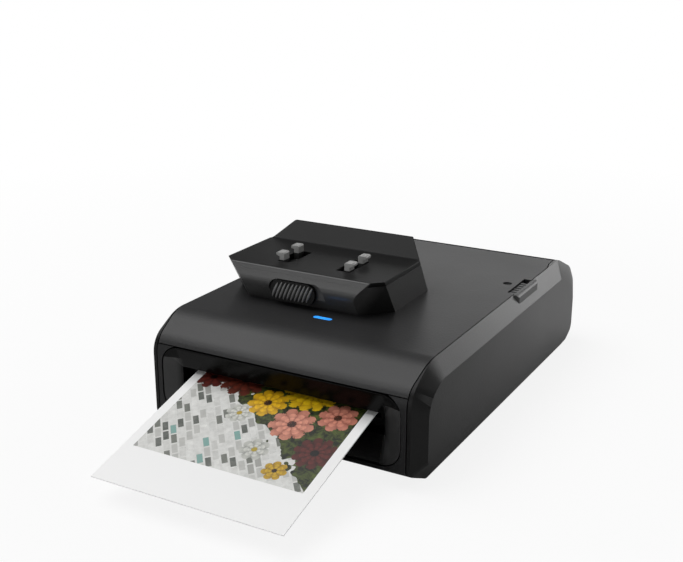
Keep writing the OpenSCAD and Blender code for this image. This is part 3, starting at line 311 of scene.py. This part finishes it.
def metal(name, colour, rough, scale, strength=0.2):
    """scale: how fine the tool lines are along X, Y and Z."""
    mat, tree, shader = material(name, metallic=1.0)
    along = put(tree, "ShaderNodeMapping", Vector=object_coords(tree), Scale=scale).outputs["Vector"]
    lines = put_group(tree, LINES, Vector=along, Colour=(*colour, 1), Roughness=rough,
                      Strength=strength).outputs
    feed(tree, shader, Base_Color=lines["Colour"], Roughness=lines["Roughness"],
         Normal=bump(tree, lines["Height"], 0.1, LINE_DEPTH))
    return mat


def graded(name, axis, places, first, second, both_ways=False, below=None):
    """Plastic that passes from one finish to another between two places on an axis, with painted light and
    shade in its change of grey.
    first, second: (grey, roughness, specular). With both_ways the axis counts from its zero to both sides.
    With below, the second finish only comes under that height."""
    mat, tree, shader = material(name)
    axes = split_axes(tree, object_coords(tree))
    place = abs(axes[axis]) if both_ways else axes[axis]
    if below is not None:
        place = place * (axes["Z"] < below)
    step = put(tree, "ShaderNodeMapRange", Value=place, From_Min=places[0], From_Max=places[1])
    share = Level(tree, step.outputs["Result"])

    def between(a, b):
        return share * (b - a) + a

    base = put_group(tree, GRAIN, Colour=mix_colour(tree, share, grey(first[0]), grey(second[0])), Drift=0.12,
                     Grain_size=3200.0, Roughness=between(first[1], second[1]))
    feed(tree, shader, Specular_IOR_Level=between(first[2], second[2]))
    worn_plastic(tree, shader, base, marks=0.2, strength=0.2)
    return mat


# ---------------------------------------------------------------- plastics, rubbers and metals
CASING = moulded("casing_plastic", (0.018, 0.018, 0.0185), 0.42, grain=3000.0, strength=0.3, specular=0.3)
# painted shade: the front frame and base pan are darker than the casing's plastic
FRONT_PAINTED_SHADE = moulded("front_plastic_painted_shade", (0.009, 0.009, 0.0095), 0.4, grain=3000.0, strength=0.3, specular=0.2)
CHASSIS = moulded("chassis_plastic", (0.05, 0.05, 0.054), 0.5, grain=2000.0)
GRIP = moulded("grip_plastic", (0.014, 0.014, 0.015), 0.38, grain=3400.0, strength=0.15)
BUTTON = moulded("button_plastic", (0.006, 0.006, 0.006), 0.5, grain=3400.0, strength=0.15, specular=0.2)
# painted highlight: the button's ribs are far lighter than the button they are moulded on
RIBS_PAINTED_HIGHLIGHT = moulded("rib_plastic_painted_highlight", (0.13, 0.13, 0.13), 0.34, grain=3400.0, strength=0.1)
RUBBER = moulded("roller_rubber", (0.02, 0.02, 0.02), 0.75, grain=3600.0, strength=0.4)
PADS = moulded("pad_rubber", (0.018, 0.018, 0.018), 0.8, grain=2600.0, strength=0.4)
GEARS = moulded("gear_plastic", (0.72, 0.7, 0.63), 0.35, grain=2600.0, strength=0.08, drift=0.06)
CERAMIC = moulded("head_ceramic", (0.72, 0.69, 0.6), 0.2, grain=4000.0, strength=0.05, drift=0.08)
FOIL = moulded("battery_foil", (0.24, 0.26, 0.29), 0.32, grain=1200.0, strength=0.3, drift=0.2)
STEEL = metal("steel", (0.55, 0.56, 0.58), 0.28, (300, 2600, 2600))
HEAD = metal("head_aluminium", (0.6, 0.61, 0.62), 0.34, (200, 3000, 3000))
SPRINGS = metal("spring_steel", (0.6, 0.6, 0.62), 0.25, (1500, 1500, 1500), 0.15)
SCREWS = metal("screw_steel", (0.5, 0.5, 0.52), 0.22, (2600, 2600, 400))
MOTOR = metal("motor_steel", (0.5, 0.51, 0.53), 0.3, (300, 2600, 2600))
PORT = metal("port_steel", (0.6, 0.61, 0.62), 0.26, (900, 300, 2600), 0.15)
BRASS = metal("pinion_brass", (0.7, 0.5, 0.2), 0.25, (300, 2600, 2600))

# where one finish passes into another and the painted light and shade change, in metres
OUTLET_END = (0.0275, 0.0295)       # X: from the glossy face of the outlet, painted near black as shade in the recess, to its satin end walls, painted lighter as light on them
HOOD_HEIGHT = 0.0198                # Z: the hood over the outlet is glossy and painted near black from end to end, as painted shade
SIDE_TURN = (-0.053, 0.020)         # Y: the side shell is painted lighter towards the rear and darker where it turns round to the front, as painted light and shade
DOCK_FACE = (-0.0306, -0.0278)      # Y: the dock's face is satin and painted lighter, as painted light on the undercut face; its sides are duller and darker
DECK_EDGE = (-0.0315, -0.0312)      # Y: the deck's front edge is painted lighter as a painted highlight; behind it the deck is dull and dark
HOOK_FOOT = 0.0388                  # Z: below it the hook slides are painted near black, as painted shade in their slots; the cast heads above it are bare

# painted shade: the outlet's face and hood are near black; painted light: its end walls are lighter
BEZEL_PAINTED_SHADE = graded("bezel_gloss", "X", OUTLET_END, (0.0012, 0.2, 0.08), (0.019, 0.36, 0.3), True, HOOD_HEIGHT)
# painted light and shade: the side shell's grey rises from front to rear
SIDES_PAINTED_LIGHT = graded("side_plastic", "Y", SIDE_TURN, (0.005, 0.4, 0.15), (0.05, 0.4, 0.3))
# painted light: the dock's face is a lighter grey than its sides
DOCK_PAINTED_LIGHT = graded("dock_plastic", "Y", DOCK_FACE, (0.05, 0.34, 0.5), (0.017, 0.42, 0.25))
# painted highlight: a light band along the deck's front edge
DECK_PAINTED_HIGHLIGHT = graded("deck_plastic", "Y", DECK_EDGE, (0.05, 0.34, 0.5), (0.0075, 0.46, 0.12))


def hook_metal():
    mat, tree, shader = material("hook_metal")
    above = split_axes(tree, object_coords(tree))["Z"] > HOOK_FOOT
    # painted shade: the slides below HOOK_FOOT are near black
    painted_shade_tone = mix_colour(tree, above, grey(0.012), (0.27, 0.27, 0.265, 1))
    base = put_group(tree, GRAIN, Colour=painted_shade_tone, Drift=0.25, Grain_size=4200.0, Roughness=0.4).outputs
    feed(tree, shader, Base_Color=base["Colour"], Roughness=base["Roughness"],
         Normal=bump(tree, base["Height"], 0.35, GRAIN_DEPTH))
    return mat


def circuit_board():
    mat, tree, shader = material("board_green")
    coords = object_coords(tree)
    brick = put(tree, "ShaderNodeTexBrick", Vector=coords, Scale=260.0, Mortar_Size=0.06, Mortar_Smooth=0.2,
                Color1=(0.016, 0.10, 0.045, 1), Color2=(0.02, 0.13, 0.06, 1), Mortar=(0.05, 0.22, 0.11, 1))
    brick.offset = 0.37
    solder = cell_distance(tree, coords, 480.0) < 0.16
    feed(tree, shader, Base_Color=mix_colour(tree, solder, brick.outputs["Color"], (0.55, 0.48, 0.3, 1)),
         Roughness=ramp(tree, solder, [(0, 0.3), (1, 0.45)]),
         Normal=bump(tree, brick.outputs["Fac"], 0.2, 0.05 * MM))
    return mat


def led_lens():
    mat, tree, shader = material("led_lens")
    cloud = noise(tree, object_coords(tree), Scale=500.0, Detail=2.0)
    tint = ramp(tree, cloud, [(0.3, (0.02, 0.22, 0.72, 1)), (0.7, (0.03, 0.3, 0.88, 1))])
    feed(tree, shader, Base_Color=tint, Emission_Color=tint, Emission_Strength=0.75, Roughness=0.3)
    return mat


HOOKS_PAINTED_SHADE, BOARD, LENS = hook_metal(), circuit_board(), led_lens()


# ---------------------------------------------------------------- the picture on the sheet, in millimetres
SHEET_WIDTH, SHEET_LENGTH = 50.0, 76.0
BORDER, FOOT_BORDER = 2.5, 12.0     # white border, wider at the free end
LEAF_EDGE = 30.0                    # how far up the middle of the sheet the leaves begin
LEAF_SLANT, LEAF_RAGGED = 0.75, 15.0          # slope of the leaves' edge and how far it wanders

PETAL_RINGS = ((1.0, 0.0, 0.75), (0.68, 0.35, 1.0), (0.42, 0.1, 1.15))       # size, turn, light
BLOOMS = (          # centre, radius, petals, petal, shade, core
    ((8.0, 49.0), 5.2, 8, (0.10, 0.012, 0.010), (0.012, 0.003, 0.003), (0.004, 0.002, 0.002)),
    ((22.5, 52.5), 6.0, 10, (0.74, 0.44, 0.01), (0.20, 0.09, 0.004), (0.02, 0.01, 0.004)),
    ((40.0, 50.0), 6.5, 9, (0.09, 0.015, 0.012), (0.010, 0.004, 0.004), (0.004, 0.002, 0.002)),
    ((19.5, 30.5), 3.4, 8, (0.66, 0.66, 0.62), (0.22, 0.23, 0.20), (0.42, 0.30, 0.03)),
    ((5.5, 40.5), 4.4, 8, (0.13, 0.02, 0.014), (0.012, 0.004, 0.003), (0.004, 0.002, 0.002)),
    ((14.0, 42.5), 6.8, 11, (0.16, 0.03, 0.016), (0.014, 0.005, 0.004), (0.005, 0.003, 0.002)),
    ((32.5, 43.5), 7.6, 13, (0.84, 0.56, 0.01), (0.30, 0.14, 0.004), (0.03, 0.014, 0.004)),
    ((42.5, 36.5), 4.8, 8, (0.66, 0.26, 0.18), (0.20, 0.05, 0.035), (0.05, 0.02, 0.01)),
    ((24.0, 36.0), 5.0, 9, (0.80, 0.48, 0.01), (0.26, 0.11, 0.004), (0.025, 0.012, 0.004)),
    ((33.5, 31.0), 5.6, 9, (0.70, 0.30, 0.21), (0.22, 0.06, 0.04), (0.04, 0.016, 0.01)),
    ((43.5, 24.0), 5.2, 10, (0.12, 0.02, 0.016), (0.014, 0.005, 0.004), (0.004, 0.002, 0.002)),
    ((30.0, 20.5), 3.6, 7, (0.62, 0.62, 0.58), (0.20, 0.21, 0.19), (0.4, 0.3, 0.03)),
    ((38.0, 16.0), 3.0, 7, (0.60, 0.38, 0.02), (0.16, 0.08, 0.01), (0.02, 0.01, 0.004)))


def bloom():
    """One flower: rings of petals round a core, laid over the colour below."""
    tree, given, out = new_group("bloom", [
        ("Vector", "NodeSocketVector", (0, 0, 0)), ("Centre", "NodeSocketVector", (25, 35, 0)),
        ("Radius", "NodeSocketFloat", 6.0), ("Petals", "NodeSocketFloat", 9.0),
        ("Petal", "NodeSocketColor", (0.8, 0.5, 0.02, 1)), ("Shade", "NodeSocketColor", (0.3, 0.12, 0.01, 1)),
        ("Core", "NodeSocketColor", (0.05, 0.02, 0.01, 1)), ("Below", "NodeSocketColor", (0.1, 0.1, 0.1, 1))],
        [("Colour", "NodeSocketColor")])
    offset = vector_math(tree, "SUBTRACT", given["Vector"], given["Centre"])
    axes = split_axes(tree, offset)
    x, y = axes["X"], axes["Y"]
    away = (x * x + y * y).root()
    ripple = noise(tree, offset, Scale=1.3, Detail=4.0, Roughness=0.6)
    turn = y.step("ARCTAN2", x) + (ripple - 0.5) * 0.5
    mottle = ripple * 0.9 + 0.55
    colour = given["Below"]
    for size, shift, lift in PETAL_RINGS:
        lobe = abs((turn * given["Petals"] * 0.5 + shift).step("COSINE")).root()
        edge = given["Radius"] * size * (lobe * 0.34 + 0.66)
        place = away / edge
        light = (place ** 0.8 * lobe * lift).clamped()
        light = (light * mottle).clamped()
        petal = mix_colour(tree, light, given["Shade"], given["Petal"])
        colour = mix_colour(tree, place < 1.0, colour, petal)
    dots = cell_distance(tree, offset, 2.4) < 0.35
    core = mix_colour(tree, dots, given["Core"], given["Shade"])
    feed(tree, out, Colour=mix_colour(tree, away < given["Radius"] * 0.2, colour, core))
    return tree


BLOOM = bloom()


def tiled_wall(tree, uv):
    """Wall of glazed tiles, seen at a slant."""
    lean = put(tree, "ShaderNodeMapping", Vector=uv, Rotation=(0, 0, 0.9)).outputs["Vector"]
    tiles = put(tree, "ShaderNodeTexBrick", Vector=lean, Scale=0.14, Mortar_Size=0.035, Mortar_Smooth=0.2,
                Color1=grey(0), Color2=grey(1), Mortar=grey(0.12))
    glazes = ramp(tree, tiles.outputs["Color"], [
        (0.0, (0.60, 0.60, 0.58, 1)), (0.06, (0.72, 0.72, 0.70, 1)), (0.3, (0.50, 0.50, 0.48, 1)),
        (0.46, (0.76, 0.76, 0.74, 1)), (0.62, (0.12, 0.13, 0.11, 1)), (0.72, (0.66, 0.66, 0.64, 1)),
        (0.84, (0.055, 0.065, 0.055, 1)), (0.91, (0.16, 0.36, 0.33, 1)), (0.95, (0.34, 0.34, 0.32, 1))], True)
    cloud = noise(tree, uv, Scale=0.5, Detail=6.0, Roughness=0.7)
    return mix_colour(tree, ramp(tree, cloud, [(0.3, 0.0), (0.75, 0.5)]), glazes, (0.30, 0.30, 0.28, 1))


def cut_flowers(tree, uv, u, v):
    """Leaves and flowers over the right half of the wall."""
    leaf = noise(tree, uv, Scale=0.5, Detail=6.0, Roughness=0.72, Distortion=0.8)
    leaf = ramp(tree, leaf, [(0.42, 0.0), (0.66, 1.0)])
    leaves = mix_colour(tree, leaf, (0.006, 0.008, 0.004, 1), (0.09, 0.12, 0.02, 1))
    slant = (u - SHEET_WIDTH / 2) * LEAF_SLANT + (v - LEAF_EDGE)
    ragged = (noise(tree, uv, Scale=0.22, Detail=2.0, Roughness=0.45) - 0.5) * LEAF_RAGGED
    picture = mix_colour(tree, slant + ragged > 0.0, tiled_wall(tree, uv), leaves)
    for centre, radius, petals, petal, shade, core in BLOOMS:
        flower = put_group(tree, BLOOM, Vector=uv, Centre=(*centre, 0), Radius=radius, Petals=petals,
                           Petal=(*petal, 1), Shade=(*shade, 1), Core=(*core, 1), Below=picture)
        picture = flower.outputs["Colour"]
    return picture


def photo_paper():
    """White paper with the picture inside a border, drawn with the sheet's own UV map."""
    mat, tree, shader = material("photo_paper", specular=0.35, coat=0.08, coat_roughness=0.2)
    uv_map = tree.nodes.new("ShaderNodeUVMap")
    uv_map.uv_map = "sheet"
    uv = uv_map.outputs["UV"]
    axes = split_axes(tree, uv)
    u, v = axes["X"], axes["Y"]
    across = (u > BORDER) * (u < SHEET_WIDTH - BORDER)
    along = (v > FOOT_BORDER) * (v < SHEET_LENGTH - BORDER)
    fibre = noise(tree, uv, Scale=14.0, Detail=3.0, Roughness=0.6)
    paper = mix_colour(tree, fibre, grey(0.86), (0.90, 0.90, 0.895, 1))
    printed = mix_colour(tree, across * along, paper, cut_flowers(tree, uv, u, v))
    feed(tree, shader, Base_Color=printed, Roughness=ramp(tree, fibre, [(0, 0.34), (1, 0.40)]),
         Normal=bump(tree, fibre, 0.05, 0.04 * MM))
    return mat


PAPER = photo_paper()


# ---------------------------------------------------------------- which piece has which finish
FINISHED_NODES = (
    (CASING, ("rear_panel", "top_cover")),
    (FRONT_PAINTED_SHADE, ("base_pan", "front_frame")),
    (SIDES_PAINTED_LIGHT, ("left_side_shell", "right_side_shell")),
    (BEZEL_PAINTED_SHADE, ("exit_bezel",)),
    (DOCK_PAINTED_LIGHT, ("dock_housing",)),
    (DECK_PAINTED_HIGHLIGHT, ("dock_deck",)),
    (BUTTON, ("release_slider",)),
    (HOOKS_PAINTED_SHADE, ("left_hooks", "right_hooks")),
    (GRIP, ("cover_catch", "power_switch", "power_button")),
    (LENS, ("led_window",)),
    (PAPER, ("photo_print",)),
    (CHASSIS, ("chassis_left", "chassis_right", "sheet_guides", "paper_tray", "pickup_shaft")),
    (STEEL, ("spring_bar", "gear_studs", "hinge_pins", "platen_shaft", "feed_roller", "pressure_plate")),
    (SPRINGS, ("head_springs", "pressure_springs", "catch_spring", "release_spring")),
    (SCREWS, ("case_screws", "dock_screws")),
    (RUBBER, ("platen_rubber", "pickup_tyres", "pinch_roller")),
    (PADS, ("rubber_pads",)),
    (GEARS, ("platen_gear", "feed_gear", "pickup_gear", "compound_gear", "front_idler_gear",
             "rear_idler_gear", "hook_pinion")),
    (CERAMIC, ("print_head",)),
    (HEAD, ("head_bracket",)),
    (MOTOR, ("drive_motor",)),
    (BRASS, ("motor_pinion",)),
    (PORT, ("usb_c_port",)),
    (BOARD, ("main_board",)),
    (FOIL, ("battery_pack",)))
FINISH = {node: finish for finish, nodes in FINISHED_NODES for node in nodes}


def paint(mesh, finish):
    mesh.materials.clear()
    mesh.materials.append(finish)


for node_name, node_finish in FINISH.items():
    paint(NODES[node_name].data, node_finish)


# ---------------------------------------------------------------- pieces made from the CAD nodes
WELD = 0.002 * MM                   # corners closer than this are one
FLAT_ANGLE = math.radians(0.6)      # facets that bend less are one face
ROUND_ANGLE = math.radians(30)      # edges that bend more are rounded
SHARP_ANGLE = math.radians(36)      # edges that bend more are shaded sharp
BUTTON_FACE = -32.405               # Y in mm; the ribs stand before it


def copy_of(node, name):
    piece = bpy.data.objects.new(name, NODES[node].data.copy())
    scene.collection.objects.link(piece)
    return piece


def stand_in(piece, node):
    """The piece moves with the CAD node's body, and the node that it takes the place of is hidden."""
    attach(piece, BODY[node])
    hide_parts(node)


def shade_smooth(mesh, sharp_angle):
    mesh.polygons.foreach_set("use_smooth", [True] * len(mesh.polygons))
    mesh.set_sharp_from_angle(angle=sharp_angle)


def evaluated_mesh(piece):
    """The piece's mesh with its modifiers applied; the modifiers are taken off."""
    bpy.context.view_layer.update()
    made = bpy.data.meshes.new_from_object(piece.evaluated_get(bpy.context.evaluated_depsgraph_get()))
    piece.modifiers.clear()
    return made


def cut_front(bm, front):
    """Cuts off what stands before the plane Y = front and closes the cut."""
    everything = bm.verts[:] + bm.edges[:] + bm.faces[:]
    cut = bmesh.ops.bisect_plane(bm, geom=everything, plane_co=(0, front, 0), plane_no=(0, -1, 0),
                                 clear_outer=True)
    rim = [item for item in cut["geom_cut"] if isinstance(item, bmesh.types.BMEdge)]
    bmesh.ops.holes_fill(bm, edges=rim)


def finished(node, radius, segments=2, front=None):
    """A copy of a CAD node with its loose triangles joined, its edges rounded and its curves shaded smooth.
    With front, what stands before that Y is cut off. Lengths in mm."""
    piece = copy_of(node, node + "_moulded")
    bm = bmesh.new()
    bm.from_mesh(piece.data)
    bmesh.ops.remove_doubles(bm, verts=bm.verts, dist=WELD)
    if front is not None:
        cut_front(bm, front * MM)
    bmesh.ops.dissolve_limit(bm, angle_limit=FLAT_ANGLE, verts=bm.verts, edges=bm.edges)
    bm.to_mesh(piece.data)
    bm.free()
    edge = piece.modifiers.new("rounding", "BEVEL")
    edge.width = radius * MM
    edge.segments = segments
    edge.limit_method = "ANGLE"
    edge.angle_limit = ROUND_ANGLE
    edge.use_clamp_overlap = True
    edge.miter_outer = "MITER_ARC"
    piece.data = evaluated_mesh(piece)
    shade_smooth(piece.data, SHARP_ANGLE)
    even = piece.modifiers.new("even_shading", "WEIGHTED_NORMAL")
    even.mode = "FACE_AREA"
    even.weight = 100
    even.keep_sharp = True
    piece.data = evaluated_mesh(piece)
    paint(piece.data, FINISH[node])
    stand_in(piece, node)


def rib_row():
    """A row of slanted round ribs, shortened towards the round ends of a stadium."""
    tree, given, out = new_group("rib_row", [
        ("Count", "NodeSocketInt", 9), ("Pitch", "NodeSocketFloat", 0.001),
        ("Thickness", "NodeSocketFloat", 0.0006), ("Half height", "NodeSocketFloat", 0.002),
        ("Straight half", "NodeSocketFloat", 0.004), ("Slant", "NodeSocketFloat", 0.5),
        ("Material", "NodeSocketMaterial", None)],
        [("Geometry", "NodeSocketGeometry")], "GeometryNodeTree")
    half_row = (given["Count"] - 1) * given["Pitch"] * 0.5
    start = put(tree, "ShaderNodeCombineXYZ", X=half_row * -1.0).outputs[0]
    step = put(tree, "ShaderNodeCombineXYZ", X=given["Pitch"]).outputs[0]
    line = put(tree, "GeometryNodeMeshLine", Count=given["Count"], Start_Location=start, Offset=step)
    line.mode = "OFFSET"
    middle = split_axes(tree, tree.nodes.new("GeometryNodeInputPosition").outputs[0])["X"]
    past = (abs(middle) - given["Straight half"]).at_least(0.0)
    half_squared = given["Half height"] * given["Half height"] - past * past
    half = half_squared.at_least(1e-9).root()
    size = put(tree, "ShaderNodeCombineXYZ", X=given["Thickness"], Y=given["Thickness"], Z=half).outputs[0]
    turn = put(tree, "ShaderNodeCombineXYZ", Y=given["Slant"]).outputs[0]
    rib = put(tree, "GeometryNodeMeshUVSphere", Segments=20, Rings=14, Radius=1.0).outputs["Mesh"]
    copies = put(tree, "GeometryNodeInstanceOnPoints", Points=line.outputs["Mesh"], Instance=rib,
                 Rotation=turn, Scale=size)
    real = put(tree, "GeometryNodeRealizeInstances", Geometry=copies.outputs["Instances"])
    painted = put(tree, "GeometryNodeSetMaterial", Geometry=real.outputs["Geometry"],
                  Material=given["Material"])
    feed(tree, out, Geometry=painted.outputs["Geometry"])
    return tree


def button_ribs():
    """The grip ribs on the release button, in place of the straight ones that its copy has lost."""
    piece = bpy.data.objects.new("release_ribs", bpy.data.meshes.new("release_ribs"))
    scene.collection.objects.link(piece)
    row = piece.modifiers.new("rib_row", "NODES")
    row.node_group = rib_row()
    values = {"Count": 10, "Pitch": 1.12 * MM, "Thickness": 0.4 * MM, "Half height": 2.5 * MM,
              "Straight half": 3.8 * MM, "Slant": math.radians(24), "Material": RIBS_PAINTED_HIGHLIGHT}
    middle = Vector((-9.9, -32.5, 33.05)) * MM
    for item in row.node_group.interface.items_tree:
        if item.in_out == "INPUT":
            row[item.identifier] = values[item.name]
    piece.data = evaluated_mesh(piece)
    piece.data.transform(Matrix.Translation(middle))
    piece.data.polygons.foreach_set("use_smooth", [True] * len(piece.data.polygons))
    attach(piece, BODY["release_slider"])


finished("left_side_shell", 0.25)
finished("right_side_shell", 0.25)
finished("top_cover", 0.2)
finished("front_frame", 0.25)
finished("rear_panel", 0.2)
finished("base_pan", 0.2)
finished("exit_bezel", 0.25)
finished("dock_housing", 0.35, 3)
finished("dock_deck", 0.3, 3)
finished("release_slider", 0.12, front=BUTTON_FACE)
button_ribs()
finished("left_hooks", 0.2)
finished("right_hooks", 0.2)
finished("cover_catch", 0.08)


# ---------------------------------------------------------------- spring copies that stand in for their nodes
def pressed_spring(node):
    """A copy of a coil spring that stands in for its node."""
    piece = copy_of(node, node + "_coil")
    paint(piece.data, FINISH[node])
    stand_in(piece, node)
    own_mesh(piece)


pressed_spring("catch_spring")
pressed_spring("head_springs")
pressed_spring("pressure_springs")


# ---------------------------------------------------------------- the printed sheet
SHEET_BEND = -51.55 * MM            # Y where the sheet bends down at the slot
SHEET_DROOP = math.radians(14.6)


def printed_sheet():
    """A copy of the sheet with a UV map in millimetres: u across it, v along it from its free end."""
    piece = copy_of("photo_print", "printed_sheet")
    bm = bmesh.new()
    bm.from_mesh(piece.data)
    bmesh.ops.remove_doubles(bm, verts=bm.verts, dist=0.001 * MM)
    bm.to_mesh(piece.data)
    bm.free()
    sheet = piece.data
    free_end = min(v.co.y for v in sheet.vertices)
    layer = sheet.uv_layers.new(name="sheet")
    for loop in sheet.loops:
        x, y, _ = sheet.vertices[loop.vertex_index].co
        outside = (min(y, SHEET_BEND) - free_end) / math.cos(SHEET_DROOP)
        along = outside + max(0.0, y - SHEET_BEND)
        layer.data[loop.index].uv = (x / MM + SHEET_WIDTH / 2, along / MM)
    shade_smooth(sheet, math.radians(30))
    paint(sheet, PAPER)
    stand_in(piece, "photo_print")


printed_sheet()

# the nodes that are seen as they are keep flat faces
for plain_node in NODES.values():
    if not plain_node.hide_render:
        plain_node.data.polygons.foreach_set("use_smooth", [False] * len(plain_node.data.polygons))


# ---------------------------------------------------------------- floor and light
FLOOR_HALF = 3.0                    # metres, half of the floor's side
SHADOW_NEAR, SHADOW_FAR = 0.12, 0.32          # metres from the middle; beyond the second the floor is white
SHADOW_WHITE = 0.86                 # share of white up to the first
FILL_LIGHT = 0.16                   # strength of the even light from all round


def camera_sees(tree, surface, share, lit, plain):
    """The lit shader, with a share of the plain one in the camera's own view."""
    mix = tree.nodes.new("ShaderNodeMixShader")
    for socket, value in zip(mix.inputs, (share, lit.outputs[0], plain.outputs[0])):
        feed_socket(tree, value, socket)
    feed(tree, surface, Surface=mix.outputs[0])


def paper_floor():
    """Pale floor that keeps the shadow near the printer and is plain white further out."""
    floor = bpy.data.objects.new("floor", bpy.data.meshes.new("floor"))
    scene.collection.objects.link(floor)
    bm = bmesh.new()
    bmesh.ops.create_grid(bm, x_segments=1, y_segments=1, size=FLOOR_HALF)
    bm.to_mesh(floor.data)
    bm.free()
    mat, tree, shader = material("floor_paper", specular=0.1)
    coords = object_coords(tree)
    grain = noise(tree, coords, Scale=900.0, Detail=2.0)
    feed(tree, shader, Base_Color=ramp(tree, grain, [(0, 0.78), (1, 0.82)]), Roughness=0.8)
    white = put(tree, "ShaderNodeEmission", Color=grey(1), Strength=1.0)
    distance = tree.nodes.new("ShaderNodeVectorMath")
    distance.operation = "LENGTH"
    tree.links.new(coords, distance.inputs[0])
    whitened = ramp(tree, distance.outputs["Value"], [(SHADOW_NEAR, SHADOW_WHITE), (SHADOW_FAR, 1.0)])
    ray = Level(tree, tree.nodes.new("ShaderNodeLightPath").outputs["Is Camera Ray"])
    camera_sees(tree, tree.nodes["Material Output"], ray * whitened, shader, white)
    paint(floor.data, mat)


def white_surroundings():
    """White for the camera, a weak even fill for everything else."""
    if scene.world is None:
        scene.world = bpy.data.worlds.new("studio")
    scene.world.use_nodes = True
    tree = scene.world.node_tree
    tree.nodes.clear()
    white = put(tree, "ShaderNodeBackground", Color=grey(1), Strength=1.0)
    fill = put(tree, "ShaderNodeBackground", Color=grey(1), Strength=FILL_LIGHT)
    seen = tree.nodes.new("ShaderNodeLightPath").outputs["Is Camera Ray"]
    camera_sees(tree, tree.nodes.new("ShaderNodeOutputWorld"), seen, fill, white)


def soft_box(name, place, target, width, height, power):
    """An area lamp at place, turned to target. Metres and watts."""
    lamp = bpy.data.objects.new(name, bpy.data.lights.new(name, "AREA"))
    lamp.data.shape = "RECTANGLE"
    lamp.data.size, lamp.data.size_y = width, height
    lamp.data.energy = power
    aim = (Vector(target) - Vector(place)).to_track_quat("-Z", "Y")
    lamp.matrix_world = Matrix.Translation(place) @ aim.to_matrix().to_4x4()
    scene.collection.objects.link(lamp)


paper_floor()
white_surroundings()
soft_box("overhead_box", (-0.33, -0.14, 0.8), (0, 0, 0.02), 0.9, 0.7, 7.0)
soft_box("rear_right_box", (0.48, 0.72, 0.27), (0.02, 0.02, 0.02), 0.45, 0.36, 2.8)
soft_box("low_rear_box", (-0.12, 1.05, 0.27), (0.0, 0.05, 0.03), 1.0, 0.3, 1.5)
soft_box("front_box", (-0.3, -0.95, 0.22), (0, -0.03, 0.02), 0.7, 0.3, 1.6)
